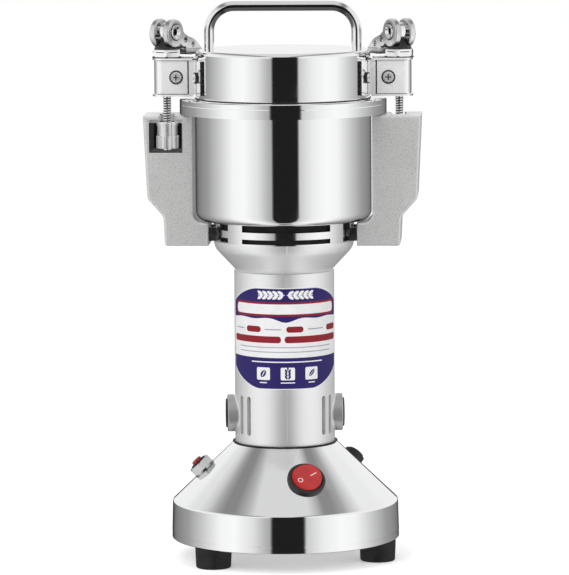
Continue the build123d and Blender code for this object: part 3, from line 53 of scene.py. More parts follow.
# ---------------- sizes of the mill's own parts
neck_radius = 30.2
neck_inside = 28.0
neck_top = 175.0
vent_radius = 42.3
housing_front = 5.3  # the azimuth that the housing's own front faces
rod_circle = 69.9
rod_radius = 2.5
cam_outer = 6.85  # from a lever's middle plane to the outside of its discs
ear_half_width = 10.0
ear_bottom, ear_top = 280.4, 303.3
ear_screw_reach = 63.6
tab_radius = 52.55
tab_sheet = 1.5
tab_screw_angle = 19.0
window_half_width = 9.8
window_bottom, window_top = 247.0, 264.7
window_back = 15.3
bracket_half_depth = 18.0
pin_height = 318.6
lever_yaw = 30
fitting_circle = 49.0
band_top, band_top_radius = 35.0, 68.4
band_bottom, band_radius = 12.5, 69.0
collar_top, collar_radius = 279.0, 62.2
cone_top = 70.7
neck_opening = 31.4
switch_azimuth = 17.7
rocker_turn = 20
rocker_tilt = 8
sides = (("left", -1), ("right", 1))
front_and_back = (("front", -1), ("back", 1))
corners = [(f"{hand}_{word}", side, face) for hand, side in sides for word, face in front_and_back]


def around(azimuth, radius, height):
    """The point at an azimuth from the front, a radius from the axis and a height, in metres."""
    a = radians(azimuth)
    return Vector((radius * sin(a), -radius * cos(a), height)) * mm


# ---------------- shader building blocks
def node_group(name, inputs, outputs):
    """A new shader node group; inputs are (name, default) numbers, outputs are names."""
    tree = bpy.data.node_groups.new(name, "ShaderNodeTree")
    for label, default in inputs:
        socket = tree.interface.new_socket(name=label, in_out="INPUT", socket_type="NodeSocketFloat")
        socket.default_value = default
    for label in outputs:
        tree.interface.new_socket(name=label, in_out="OUTPUT", socket_type="NodeSocketFloat")
    return tree, tree.nodes.new("NodeGroupInput"), tree.nodes.new("NodeGroupOutput")


def feed(tree, value, slot):
    """Feeds an input with a socket, a number or a colour; a number gives a colour input a grey."""
    if isinstance(value, bpy.types.NodeSocket):
        tree.links.new(value, slot)
        return
    if slot.type == "RGBA":
        value = (*value, 1.0) if isinstance(value, tuple) else (value, value, value, 1.0)
    slot.default_value = value


def fill(tree, node, **inputs):
    """Feeds a node's inputs by label, with an underscore for a space; gives back the node."""
    for label, value in inputs.items():
        feed(tree, value, node.inputs[label.replace("_", " ")])
    return node


def maths(tree, operation, *values, clamp=False):
    """A Math node whose inputs are numbers or sockets; gives back its output socket."""
    node = tree.nodes.new("ShaderNodeMath")
    node.operation = operation
    node.use_clamp = clamp
    for slot, value in zip(node.inputs, values):
        feed(tree, value, slot)
    return node.outputs[0]


def remap(tree, value, low, high, to_low=0.0, to_high=1.0):
    """A smooth step of a socket from one range of numbers to another."""
    node = tree.nodes.new("ShaderNodeMapRange")
    node.interpolation_type = "SMOOTHSTEP"
    fill(tree, node, Value=value, From_Min=low, From_Max=high, To_Min=to_low, To_Max=to_high)
    return node.outputs[0]


def noise(tree, vector, scale, detail=3.0, roughness=0.5):
    """A Noise texture's value over a vector socket; scale is a number or a socket."""
    node = tree.nodes.new("ShaderNodeTexNoise")
    return fill(tree, node, Vector=vector, Scale=scale, Detail=detail, Roughness=roughness).outputs[0]


def coordinate(tree, kind):
    """A coordinate: Object is a point's place in metres, Normal its facing, Generated a ray's way."""
    return tree.nodes.new("ShaderNodeTexCoord").outputs[kind]


def split(tree, vector):
    """The x, y and z sockets of a vector socket."""
    return fill(tree, tree.nodes.new("ShaderNodeSeparateXYZ"), Vector=vector).outputs


def negative(tree, value):
    """A socket's value with its sign turned."""
    return maths(tree, "MULTIPLY", value, -1.0)


def hypotenuse(tree, x, y):
    """The length of two sockets' values at right angles."""
    squares = maths(tree, "ADD", maths(tree, "MULTIPLY", x, x), maths(tree, "MULTIPLY", y, y))
    return maths(tree, "SQRT", squares)


def blend(tree, mask, low, high):
    """A colour from low to high as a mask goes from 0 to 1; each is a colour, a grey or a socket."""
    node = tree.nodes.new("ShaderNodeMix")
    node.data_type = "RGBA"
    for n, value in ((0, mask), (6, low), (7, high)):
        feed(tree, value, node.inputs[n])
    return node.outputs[2]


def build_turning_lines():
    """Fine rings that a lathe leaves round the upright axis."""
    tree, given, result = node_group("turning lines", (("Lines per metre", 2500.0),), ("Height",))
    x, y, z = split(tree, coordinate(tree, "Object"))
    flat = fill(tree, tree.nodes.new("ShaderNodeCombineXYZ"), X=hypotenuse(tree, x, y), Z=z)
    fill(tree, result, Height=noise(tree, flat.outputs[0], given.outputs["Lines per metre"], 2.0))
    return tree


def build_handling_marks():
    """Faint smudges and wipe marks on a bright surface."""
    tree, given, result = node_group("handling marks", (("Scale", 28.0), ("Strength", 0.5)), ("Mask",))
    cloud = noise(tree, coordinate(tree, "Object"), given.outputs["Scale"], 5.0, 0.6)
    mask = remap(tree, cloud, 0.48, 0.72)
    fill(tree, result, Mask=maths(tree, "MULTIPLY", mask, given.outputs["Strength"]))
    return tree


def build_cast_skin():
    """The pebbled skin of a sand casting: rounded grains of mixed size."""
    wander_scale, wander_reach = 400.0, 0.0012
    fine_scale, fine_share = 2600.0, 0.35
    tree, given, result = node_group("cast skin", (("Grains per metre", 620.0),), ("Height", "Hollows"))
    point = coordinate(tree, "Object")
    wander = fill(tree, tree.nodes.new("ShaderNodeTexNoise"), Vector=point, Scale=wander_scale)
    bent = tree.nodes.new("ShaderNodeVectorMath")
    bent.operation = "MULTIPLY_ADD"
    for slot, value in zip(bent.inputs, (wander.outputs["Color"], [wander_reach] * 3, point)):
        feed(tree, value, slot)
    grains = tree.nodes.new("ShaderNodeTexVoronoi")
    grains.feature = "SMOOTH_F1"
    fill(tree, grains, Vector=bent.outputs[0], Scale=given.outputs["Grains per metre"], Smoothness=0.7)
    apart = grains.outputs["Distance"]
    fine = maths(tree, "MULTIPLY", noise(tree, point, fine_scale, 2.0), fine_share)
    fill(tree, result, Height=maths(tree, "ADD", maths(tree, "SUBTRACT", 1.0, apart), fine),
         Hollows=remap(tree, apart, 0.35, 0.75))
    return tree


def build_fine_grain():
    """The very fine grain of a satin, moulded or oxidised surface."""
    tree, given, result = node_group("fine grain", (("Grains per metre", 4000.0),), ("Height", "Mottle"))
    point = coordinate(tree, "Object")
    fill(tree, result, Height=noise(tree, point, given.outputs["Grains per metre"], 2.0),
         Mottle=remap(tree, noise(tree, point, 160.0, 4.0, 0.6), 0.35, 0.7))
    return tree


turning_lines = build_turning_lines()
handling_marks = build_handling_marks()
cast_skin = build_cast_skin()
fine_grain = build_fine_grain()


class Finish:
    """One material in the making. Each step feeds its Principled shader and gives back the finish."""

    def __init__(self, name, colour, metallic, roughness, **constants):
        self.material = bpy.data.materials.new(name)
        self.material.use_nodes = True
        self.material.diffuse_color = (*colour, 1.0)
        self.tree = self.material.node_tree
        self.shader = self.tree.nodes["Principled BSDF"]
        self.colour = colour
        fill(self.tree, self.shader, Base_Color=colour, Metallic=metallic, Roughness=roughness, **constants)

    def effect(self, group, **values):
        """Places a shared effect in this material with its own values; gives back its node."""
        node = self.tree.nodes.new("ShaderNodeGroup")
        node.node_tree = group
        return fill(self.tree, node, **values)

    def bump(self, height, strength, distance):
        """Feeds a height to a Bump node, after the bumps before it, and to the shader's Normal."""
        node = self.tree.nodes.new("ShaderNodeBump")
        fill(self.tree, node, Height=height, Strength=strength, Distance=distance * mm)
        normal = self.shader.inputs["Normal"]
        if normal.is_linked:
            fill(self.tree, node, Normal=normal.links[0].from_socket)
        feed(self.tree, node.outputs[0], normal)
        return self

    def vary(self, label, mask, high, low=None):
        """An input runs from low, or from what it was, to high as a mask goes from 0 to 1."""
        slot = self.shader.inputs[label]
        if low is None:
            low = slot.links[0].from_socket if slot.is_linked else slot.default_value
        feed(self.tree, remap(self.tree, mask, 0.0, 1.0, low, high), slot)
        return self

    def vary_colour(self, mask, other):
        """The colour runs from what it was to another as a mask goes from 0 to 1."""
        base = self.shader.inputs["Base Color"]
        before = base.links[0].from_socket if base.is_linked else self.colour
        feed(self.tree, blend(self.tree, mask, before, other), base)
        return self

    def handled(self, scale, strength, low, high):
        """Handling marks, which take the roughness from low to high."""
        marks = self.effect(handling_marks, Scale=scale, Strength=strength)
        return self.vary("Roughness", marks.outputs["Mask"], high, low)

    def turned(self, lines_per_metre, strength, distance):
        """A lathe's fine lines, as a bump."""
        lines = self.effect(turning_lines, Lines_per_metre=lines_per_metre)
        return self.bump(lines.outputs["Height"], strength, distance)

    def grained(self, per_metre, bump=None, mottle=None, roughness=None):
        """A fine grain: bump is (strength, distance), mottle a second colour, roughness (low, high)."""
        grain = self.effect(fine_grain, Grains_per_metre=per_metre)
        if bump:
            self.bump(grain.outputs["Height"], *bump)
        if mottle:
            self.vary_colour(grain.outputs["Mottle"], mottle)
        if roughness:
            self.vary("Roughness", grain.outputs["Mottle"], roughness[1], roughness[0])
        return self


# ---------------- finishes
def mirror_sheet(name):
    """Spun stainless sheet, polished to a mirror with a trace of its turning lines."""
    finish = Finish(name, (0.95, 0.953, 0.957), 1.0, 0.06)
    return finish.handled(34.0, 0.8, 0.05, 0.10).turned(1800.0, 0.03, 0.02)


def base_steel():
    """The base's mirror sheet, with a brushed patch in front of the neck."""
    finish = mirror_sheet("base steel")
    tree = finish.tree
    x, y, z = split(tree, coordinate(tree, "Object"))
    # the patch's soft edges, in metres
    high = remap(tree, z, 0.0540, 0.0660)
    near = remap(tree, maths(tree, "ABSOLUTE", x), 0.003, 0.015, 1.0, 0.0)
    front = remap(tree, y, -0.012, -0.008, 1.0, 0.0)
    patch = maths(tree, "MULTIPLY", maths(tree, "MULTIPLY", high, near), front)
    return finish.vary("Roughness", patch, 0.36)


def satin_casting():
    """The machined and satin-polished aluminium of the motor housing."""
    finish = Finish("satin casting", (0.93, 0.932, 0.935), 0.78, 0.44)
    finish.handled(60.0, 0.6, 0.42, 0.50)
    tree = finish.tree
    x, y, z = split(tree, coordinate(tree, "Object"))
    # the bosses on the neck are left as cast; radii and heights here are in metres
    proud = remap(tree, hypotenuse(tree, x, y), 0.0307, 0.0313)
    low = remap(tree, z, 0.150, 0.155, 1.0, 0.0)
    finish.vary_colour(maths(tree, "MULTIPLY", proud, low), (0.52, 0.52, 0.525))
    # the ring with the vents is polished, from its ledge upwards
    polished = remap(tree, z, 0.1930, 0.1936)
    finish.vary("Roughness", polished, 0.10).vary("Metallic", polished, 1.0)
    return finish.grained(3000.0, bump=(0.10, 0.05)).turned(1400.0, 0.06, 0.04)


def pebbled_casting():
    """The brackets: sand-cast aluminium with a pebbled, silvery skin, lighter on faces that look upwards."""
    finish = Finish("pebbled casting", (0.72, 0.72, 0.715), 0.40, 0.42)
    skin = finish.effect(cast_skin, Grains_per_metre=1800.0)
    finish.vary_colour(skin.outputs["Hollows"], (0.56, 0.56, 0.555))
    # faces that look upwards are made lighter
    facing_up = split(finish.tree, coordinate(finish.tree, "Normal"))[2]
    finish.vary_colour(remap(finish.tree, facing_up, 0.75, 0.97), (0.96, 0.96, 0.955))
    return finish.bump(skin.outputs["Height"], 0.24, 0.13).handled(45.0, 0.7, 0.40, 0.50)


def lever_alloy():
    """Die-cast levers, tumbled bright with softly worn edges."""
    finish = Finish("lever alloy", (0.80, 0.80, 0.805), 1.0, 0.20)
    finish.handled(140.0, 1.0, 0.14, 0.28)
    return finish.grained(1500.0, bump=(0.15, 0.06), mottle=(0.62, 0.62, 0.63))


def plated_steel():
    """Bright nickel plate on nuts and screws."""
    finish = Finish("plated steel", (0.93, 0.93, 0.935), 1.0, 0.12)
    return finish.handled(160.0, 1.0, 0.09, 0.22).grained(2500.0, bump=(0.05, 0.03))


def ear_steel():
    """Pressed sheet steel of the ears: broad faces brushed, bends and edges polished."""
    finish = Finish("ear steel", (0.93, 0.93, 0.935), 1.0, 0.12)
    tree = finish.tree
    facing = maths(tree, "ABSOLUTE", split(tree, coordinate(tree, "Normal"))[1])
    brushed = remap(tree, facing, 0.90, 0.995)
    marks = finish.effect(handling_marks, Scale=90.0, Strength=1.0)
    finish.vary("Roughness", brushed, remap(tree, marks.outputs["Mask"], 0.0, 1.0, 0.30, 0.42))
    return finish.vary("Metallic", brushed, 0.26).grained(1800.0, bump=(0.06, 0.04))


def screw_steel():
    """Screws and nuts with a brushed nickel plate, brighter than they are glossy."""
    finish = Finish("screw steel", (0.95, 0.95, 0.955), 0.60, 0.24)
    return finish.handled(200.0, 1.0, 0.20, 0.34).grained(2500.0, bump=(0.08, 0.03))


def handle_steel():
    """The handle's drawn bar: bright, with the small marks of its bending and painted shade on its
    underside.
    """
    finish = Finish("handle steel", (0.88, 0.885, 0.89), 1.0, 0.08)
    finish.handled(420.0, 1.0, 0.05, 0.16).grained(520.0, bump=(0.25, 0.10))
    # painted shade: faces that look down are darkened
    facing_down = negative(finish.tree, split(finish.tree, coordinate(finish.tree, "Normal"))[2])
    return finish.vary_colour(remap(finish.tree, facing_down, 0.0, 0.16), (0.13, 0.13, 0.135))


def turned_steel():
    """Plain turned steel: rod shanks, shaft, bearings, base plate and posts."""
    finish = Finish("turned steel", (0.62, 0.62, 0.63), 1.0, 0.24)
    return finish.turned(3000.0, 0.10, 0.03).handled(120.0, 0.8, 0.20, 0.32)


def blade_steel():
    """Ground and hardened blade stock."""
    finish = Finish("blade steel", (0.70, 0.70, 0.71), 1.0, 0.18)
    return finish.turned(2200.0, 0.08, 0.03)


def black_oxide():
    """Oxide-blackened steel with a slight oily sheen."""
    finish = Finish("black oxide", (0.022, 0.022, 0.024), 0.3, 0.36)
    return finish.grained(2200.0, bump=(0.15, 0.05), mottle=(0.040, 0.040, 0.042))


def black_plastic():
    """Matt black moulding with a spark-eroded grain."""
    finish = Finish("black plastic", (0.018, 0.018, 0.019), 0.0, 0.42)
    return finish.grained(2600.0, bump=(0.20, 0.05), roughness=(0.38, 0.50))


def foot_rubber():
    """Soft black rubber of the feet and the base's gasket, with dust in its pores."""
    finish = Finish("foot rubber", (0.010, 0.010, 0.011), 0.0, 0.58, Specular_IOR_Level=0.3)
    return finish.grained(1800.0, bump=(0.30, 0.08), mottle=(0.018, 0.018, 0.019))


def clear_silicone():
    """Milky silicone of the lid's gasket and the shaft's seal."""
    finish = Finish("milky silicone", (0.78, 0.78, 0.76), 0.0, 0.45)
    return finish.grained(1500.0, bump=(0.10, 0.05), roughness=(0.40, 0.52))


def rocker_red():
    """The rocker's glossy, see-through red, seen as a deep colour under a clear skin."""
    finish = Finish("rocker red", (0.47, 0.012, 0.010), 0.0, 0.22, Coat_Weight=0.6, Coat_Roughness=0.08)
    return finish.grained(900.0, mottle=(0.38, 0.008, 0.007))


def button_red():
    """The darker red of the reset button."""
    finish = Finish("button red", (0.33, 0.012, 0.012), 0.0, 0.28, Coat_Weight=0.3)
    return finish.grained(1200.0, mottle=(0.26, 0.010, 0.010))


def motor_lamination():
    """Stacked and varnished motor sheet."""
    finish = Finish("motor lamination", (0.16, 0.16, 0.165), 0.8, 0.45)
    return finish.turned(2000.0, 0.4, 0.10).grained(700.0, mottle=(0.10, 0.10, 0.10))


def enamelled_copper():
    """Lacquered copper wire in the windings."""
    finish = Finish("enamelled copper", (0.48, 0.18, 0.07), 0.8, 0.32, Coat_Weight=0.4)
    return finish.turned(1300.0, 0.5, 0.20).grained(900.0, mottle=(0.36, 0.12, 0.05))


def brush_carbon():
    """Pressed carbon."""
    finish = Finish("brush carbon", (0.035, 0.035, 0.036), 0.1, 0.55)
    return finish.grained(3000.0, bump=(0.2, 0.05), mottle=(0.05, 0.05, 0.05))


def black_gauze_and_shade():
    """Fine black wire gauze inside the vents, and the matt black of the painted shade sheets in the
    brackets' windows.
    """
    finish = Finish("black gauze and painted shade", (0.012, 0.012, 0.013), 0.0, 0.70, Specular_IOR_Level=0.2)
    return finish.grained(2400.0, bump=(0.50, 0.10), mottle=(0.020, 0.020, 0.021))


def pressboard():
    """Grey insulating board behind the neck's slots."""
    finish = Finish("pressboard", (0.40, 0.40, 0.39), 0.0, 0.75)
    return finish.grained(1400.0, bump=(0.20, 0.06), mottle=(0.30, 0.30, 0.29))


def printed_film(name, colour):
    """One ink of the neck label or the rocker, under a matt film."""
    finish = Finish(name, colour, 0.0, 0.50, Specular_IOR_Level=0.25)
    return finish.grained(1600.0, bump=(0.04, 0.03), mottle=tuple(0.94 * c for c in colour))


finishes = {
    "polished_stainless": mirror_sheet("polished steel"),
    "cast_bracket": pebbled_casting(),
    "motor_tube": satin_casting(),
    "steel": turned_steel(),
    "lever_metal": lever_alloy(),
    "fastener_steel": plated_steel(),
    "black_steel": black_oxide(),
    "foot_rubber": foot_rubber(),
    "silicone": clear_silicone(),
    "black_plastic": black_plastic(),
    "red_plastic": rocker_red(),
    "motor_steel": motor_lamination(),
    "copper_wire": enamelled_copper(),
    "carbon": brush_carbon(),
}
ear_finish = ear_steel()
board_finish = pressboard()
gauze_and_shade_finish = black_gauze_and_shade()
blade_finish = blade_steel()
button_finish = button_red()
screw_finish = screw_steel()
base_finish = base_steel()
handle_finish = handle_steel()
inks = {
    "navy": printed_film("label navy", (0.022, 0.014, 0.130)),
    "white": printed_film("label white", (0.84, 0.84, 0.85)),
    "red": printed_film("label red", (0.27, 0.012, 0.022)),
    "grey": printed_film("label grey", (0.34, 0.34, 0.38)),
}
mark_white = printed_film("mark white", (0.82, 0.80, 0.78))


def dress_frame():
    """Gives every CAD node the finish of its material slot, or a finer one of its own."""
    own = {
        "ear_left": ear_finish, "ear_right": ear_finish, "ear_caps": ear_finish,
        "lid_fasteners": screw_finish, "knurled_nut_left": screw_finish, "knurled_nut_right": screw_finish,
        "lid_handle": handle_finish, "base_cover": base_finish, "reset_nut": finishes["steel"],
        "lower_blade": blade_finish, "upper_blade": blade_finish, "reset_button": button_finish,
    }
    for row in frame["record"]["subparts"]:
        node = frame["nodes"][row["node"]]
        node.data.materials.clear()
        finish = own.get(row["node"], finishes[row["material_slot"]])
        node.data.materials.append(finish.material)
    # the bowl's polish shows the studio, not the castings and nuts beside it
    for node in ("bracket_left", "bracket_right", "knurled_nut_left", "knurled_nut_right"):
        frame["nodes"][node].visible_glossy = False


# ---------------- piece makers
def make_piece(name, points, faces, finish, body, crease=35):
    """A mesh piece that rides on a body; edges sharper than crease degrees stay crisp."""
    mesh = bpy.data.meshes.new(name)
    mesh.from_pydata([tuple(p) for p in points], [], faces)
    mesh.materials.append(finish.material)
    mesh.validate()
    mesh.shade_smooth()
    mesh.set_sharp_from_angle(angle=radians(crease))
    piece = bpy.data.objects.new(name, mesh)
    bpy.context.scene.collection.objects.link(piece)
    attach(piece, body)
    return piece


def seat(origin, axis, across=None):
    """The matrix of a seat: z along axis, x towards across, the origin at a point in metres."""
    z = Vector(axis).normalized()
    x = Vector(across or (1, 0, 0))
    x = (x - z * x.dot(z)).normalized()
    y = z.cross(x)
    return Matrix.Translation(origin) @ Matrix((x, y, z)).transposed().to_4x4()


def rim_point(place, radius, height, n, segments):
    """Point n of a rim of so many points round a seat's z."""
    a = 2 * pi * n / segments
    return place @ Vector((radius * mm * cos(a), radius * mm * sin(a), height * mm))


def turned_piece(name, outline, place, finish, body, segments, closed=False, crease=35):
    """A turned piece: an outline of (radius, height) in millimetres, spun about a seat's z.

    An open outline starts and ends on the axis; a closed one is a ring's cross-section.
    """
    points, rings = [], []
    for radius, height in outline:
        if radius < 1e-6:
            rings.append([len(points)])
            points.append(place @ Vector((0, 0, height * mm)))
            continue
        rings.append(list(range(len(points), len(points) + segments)))
        points += [rim_point(place, radius, height, n, segments) for n in range(segments)]
    faces = []
    pairs = list(zip(rings, rings[1:]))
    if closed:
        pairs.append((rings[-1], rings[0]))
    for low, high in pairs:
        for n in range(segments):
            m = (n + 1) % segments
            if len(low) == 1:
                faces.append((low[0], high[m], high[n]))
            elif len(high) == 1:
                faces.append((low[n], low[m], high[0]))
            else:
                faces.append((low[n], low[m], high[m], high[n]))
    return make_piece(name, points, faces, finish, body, crease)


def threaded_piece(name, place, bottom, top, root, crest, pitch, finish, body):
    """A screw thread with a true helix, cut between two heights on a seat's z axis."""
    segments, steps = 24, 6  # points round the thread, and rows to its pitch
    flank = 1.7  # over 1, it leaves the crest flat
    rows = int((top - bottom) / pitch * steps)
    points = [place @ Vector((0, 0, bottom * mm))]
    for row in range(rows + 1):
        height = bottom + (top - bottom) * row / rows
        for n in range(segments):
            turn = (height / pitch - n / segments) % 1.0
            radius = root + (crest - root) * min(1.0, flank * (1 - abs(2 * turn - 1)))
            points.append(rim_point(place, radius, height, n, segments))
    points.append(place @ Vector((0, 0, top * mm)))
    faces = []
    last = len(points) - 1
    for n in range(segments):
        m = (n + 1) % segments
        faces.append((0, 1 + m, 1 + n))
        faces.append((last, last - segments + n, last - segments + m))
        for row in range(rows):
            low, high = 1 + row * segments, 1 + (row + 1) * segments
            faces.append((low + n, low + m, high + m, high + n))
    return make_piece(name, points, faces, finish, body, 40)


def ring(inner, outer, low, high):
    """A ring's cross-section for turned_piece, or a rod's outline where inner is 0."""
    return [(inner, low), (outer, low), (outer, high), (inner, high)]


def painted_shade_ring(name, inner, outer, low, high, place, body, segments=48):
    """A blackened ring of painted shade between two radii and two heights on a seat."""
    turned_piece(name, ring(inner, outer, low, high), place, finishes["black_steel"], body, segments,
                 closed=True)


def block(name, across, deep, up, finish, body, side=1, face=1):
    """A plain block over spans of x, y and z in millimetres; side and face mirror x and y."""
    xs = sorted(side * x for x in across)
    ys = sorted(face * y for y in deep)
    points = [Vector((x, y, z)) * mm for z in up for x, y in (
        (xs[0], ys[0]), (xs[1], ys[0]), (xs[1], ys[1]), (xs[0], ys[1]))]
    faces = [(3, 2, 1, 0), (4, 5, 6, 7), (0, 1, 5, 4), (1, 2, 6, 5), (2, 3, 7, 6), (3, 0, 4, 7)]
    return make_piece(name, points, faces, finish, body)


def bar_faces(steps):
    """The faces of a bar whose points are sections of four, one section after another."""
    faces = []
    for n in range(steps):
        a, b = 4 * n, 4 * n + 4
        faces += [(a + k, b + k, b + (k + 1) % 4, a + (k + 1) % 4) for k in range(4)]
    return faces + [(0, 1, 2, 3), tuple(4 * steps + k for k in (3, 2, 1, 0))]


# ---------------- neck: label and parting line
label_seat = neck_radius + 0.02
label_middle_azimuth = 4.5
label_top, label_bottom = 167.0, 105.8
label_shoulder_top, label_shoulder_bottom = 157.5, 118.2
label_half_top, label_half_bottom, label_half_wide = 35.0, 32.0, 78.0  # degrees round the neck
film_thickness = 0.12


def wrapped(angle, height, lift):
    """A point on the neck, by its angle from the label's middle, its height and its lift."""
    return around(label_middle_azimuth + angle, label_seat + lift, height)


def wrapped_field(name, start, end, low_edge, high_edge, lift, finish, step=1.5):
    """A thin field of the label between two edges, which are heights over the angle."""
    columns = max(2, int(round((end - start) / step)))
    back = lift - film_thickness
    points = []
    for n in range(columns + 1):
        angle = start + (end - start) * n / columns
        low, high = low_edge(angle), high_edge(angle)
        high = max(high, low + 0.001)
        points += [wrapped(angle, low, lift), wrapped(angle, high, lift),
                   wrapped(angle, high, back), wrapped(angle, low, back)]
    return make_piece(name, points, bar_faces(columns), finish, "mill", 50)


def label_upper_edge(angle):
    """The label's outline above: flat in the middle, then sloping to its shoulders."""
    beyond = max(0.0, abs(angle) - label_half_top) / (label_half_wide - label_half_top)
    return label_top - (label_top - label_shoulder_top) * beyond ** 1.6


def label_lower_edge(angle):
    """The label's outline below, rounder than above."""
    beyond = max(0.0, abs(angle) - label_half_bottom) / (label_half_wide - label_half_bottom)
    return label_bottom + (label_shoulder_bottom - label_bottom) * beyond ** 1.45


def pill(middle, half_width, level, half_height, roundness):
    """The lower and upper edges of a bar with rounded ends; angles in degrees."""
    round_angle = degrees(roundness / neck_radius)

    def half(angle):
        past = abs(angle - middle) - (half_width - round_angle)
        if past <= 0:
            return half_height
        return half_height - roundness + sqrt(max(0.0, 1 - (past / round_angle) ** 2)) * roundness

    return (lambda angle: level - half(angle)), (lambda angle: level + half(angle))


def label_bar(name, middle, half_width, level, half_height, roundness, lift, ink):
    """A bare bar or square with rounded ends on the label."""
    low, high = pill(middle, half_width, level, half_height, roundness)
    step = min(0.6, half_width / 6)
    return wrapped_field(name, middle - half_width, middle + half_width, low, high, lift, inks[ink], step)


def label_seed(name, middle, level, long, wide, lean, lift, ink):
    """A seed or leaf shape, pointed at both ends, leaning by an angle."""
    count = 18
    rim = []
    for n in range(count):
        a = 2 * pi * n / count
        along = cos(a) * long
        over = sin(a) * wide * (1 - 0.35 * abs(cos(a)) ** 3)
        turn = radians(lean)
        rim.append((over * cos(turn) + along * sin(turn),
                    along * cos(turn) - over * sin(turn)))
    points = []
    for depth in (lift, lift - film_thickness):
        points.append(wrapped(middle, level, depth))
        points += [wrapped(middle + degrees(x / neck_radius), level + z, depth) for x, z in rim]
    faces = []
    for n in range(count):
        m = (n + 1) % count
        faces.append((0, 1 + m, 1 + n))
        faces.append((count + 1, count + 2 + n, count + 2 + m))
        faces.append((1 + n, 1 + m, count + 2 + m, count + 2 + n))
    return make_piece(name, points, faces, inks[ink], "mill", 50)


def make_label():
    """A plain generic label: navy head and foot, white middle, bare bars and grain pictures."""
    wide = label_half_wide
    inset = 0.5
    head_level, foot_level = 148.8, 124.9
    banner_level, banner_half_wide, banner_half_high = 154.2, 68, 3.0
    ear_level = 162.7
    short_level, long_level = 142.0, 135.9
    square_level, square_rule_level = 115.3, 109.9
    head_edge = lambda angle: head_level - 2.2 * exp(-(angle / 13) ** 2) - 0.35 * cos(angle / 6)
    foot_edge = lambda angle: foot_level + 0.3 * (angle / wide) ** 2
    wrapped_field("label_ground", -wide, wide, label_lower_edge, label_upper_edge, 0.12, inks["white"])
    wrapped_field(
        "label_head", -wide + 1, wide - 1, lambda a: min(head_edge(a), label_upper_edge(a) - inset),
        lambda a: label_upper_edge(a) - inset, 0.16, inks["navy"])
    wrapped_field(
        "label_foot", -wide + 1, wide - 1, lambda a: label_lower_edge(a) + inset,
        lambda a: max(foot_edge(a), label_lower_edge(a) + inset), 0.16, inks["navy"])
    # a bare banner across the head, in red and white
    for name, grow, lift, ink in (("banner_edge", 1.3, 0.20, "red"), ("banner", 0.0, 0.24, "white")):
        half = banner_half_wide + grow * 1.5
        low, high = pill(0, half, banner_level, banner_half_high + grow, 2.4)
        wrapped_field(f"label_{name}", -half, half, low, high, lift, inks[ink], 1.0)
    # two ears of grain over the banner
    for word, side in sides:
        for n in range(5):
            for row, place in ((-1, "low"), (1, "high")):
                label_seed(f"label_grain_{word}_{n}_{place}", side * (6.0 + 6.0 * n), ear_level + row * 1.35,
                           2.0, 0.95, side * (90 - row * 32), 0.22, "white")
        label_bar(f"label_stalk_{word}", side * 17.0, 16.0, ear_level, 0.22, 0.2, 0.20, "white")
    # bare red bars and fine rules in the white middle, each at a (middle angle, half width)
    for name, level, half_height, roundness, ink, places in (
            ("short_bar", short_level, 1.8, 1.7, "red", ((-39.5, 10.0), (10.5, 10.0), (64.5, 10.5))),
            ("rule", short_level, 0.30, 0.28, "grey", ((-62.0, 8.0), (-15.0, 10.0), (37.0, 11.0))),
            ("long_bar", long_level, 2.0, 1.8, "red", ((-40.0, 34.5), (37.0, 38.5)))):
        for n, (angle, half) in enumerate(places):
            label_bar(f"label_{name}_{n}", angle, half, level, half_height, roundness, 0.18, ink)
    for n, level in enumerate((131.2, 128.4)):
        label_bar(f"label_fine_rule_{n}", 0, 62.0, level, 0.24, 0.2, 0.18, "grey")
    label_bar("label_foot_rule", 2.0, 44.0, 122.4, 0.35, 0.3, 0.20, "white")
    # three white squares with bean, grain and leaf
    for n, (angle, under) in enumerate(((-26.6, 4.7), (2.0, 8.4), (30.6, 4.5))):
        label_bar(f"label_square_{n}", angle, 8.1, square_level, 3.8, 0.7, 0.20, "white")
        label_bar(f"label_square_rule_{n}", angle, under, square_rule_level, 0.32, 0.3, 0.20, "white")
    label_seed("label_bean", -26.6, square_level, 2.5, 1.6, 35, 0.24, "navy")
    label_seed("label_bean_crease", -26.6, square_level, 2.2, 0.28, 28, 0.28, "white")
    for n in range(3):
        for word, side in sides:
            label_seed(f"label_spike_{n}_{word}", 2.0 + side * 1.9, 113.2 + 1.9 * n, 1.35, 0.62, side * 28,
                       0.24, "navy")
    label_seed("label_spike_tip", 2.0, 118.4, 1.2, 0.5, 0, 0.24, "navy")
    label_seed("label_leaf", 30.8, 115.6, 2.7, 1.15, 40, 0.24, "navy")
    label_seed("label_leaf_rib", 30.6, 115.4, 2.6, 0.16, 40, 0.28, "white")


def make_raised_line(name, azimuth, path):
    """A raised line down the housing, along a path of (radius, height)."""
    half_width, proud, sunk = 0.35, 0.30, -0.2
    spread = degrees(half_width / neck_radius)
    points, faces = [], []
    for radius, height in path:
        for turned, lift in ((-spread, sunk), (-spread / 2, proud), (spread / 2, proud), (spread, sunk)):
            points.append(around(azimuth + turned, radius + lift, height))
    for n in range(len(path) - 1):
        a, b = 4 * n, 4 * n + 4
        faces += [(a + k, a + (k + 1) % 4, b + (k + 1) % 4, b + k) for k in range(4)]
    faces += [(3, 2, 1, 0), tuple(4 * (len(path) - 1) + k for k in range(4))]
    make_piece(name, points, faces, finishes["motor_tube"], "mill", 50)


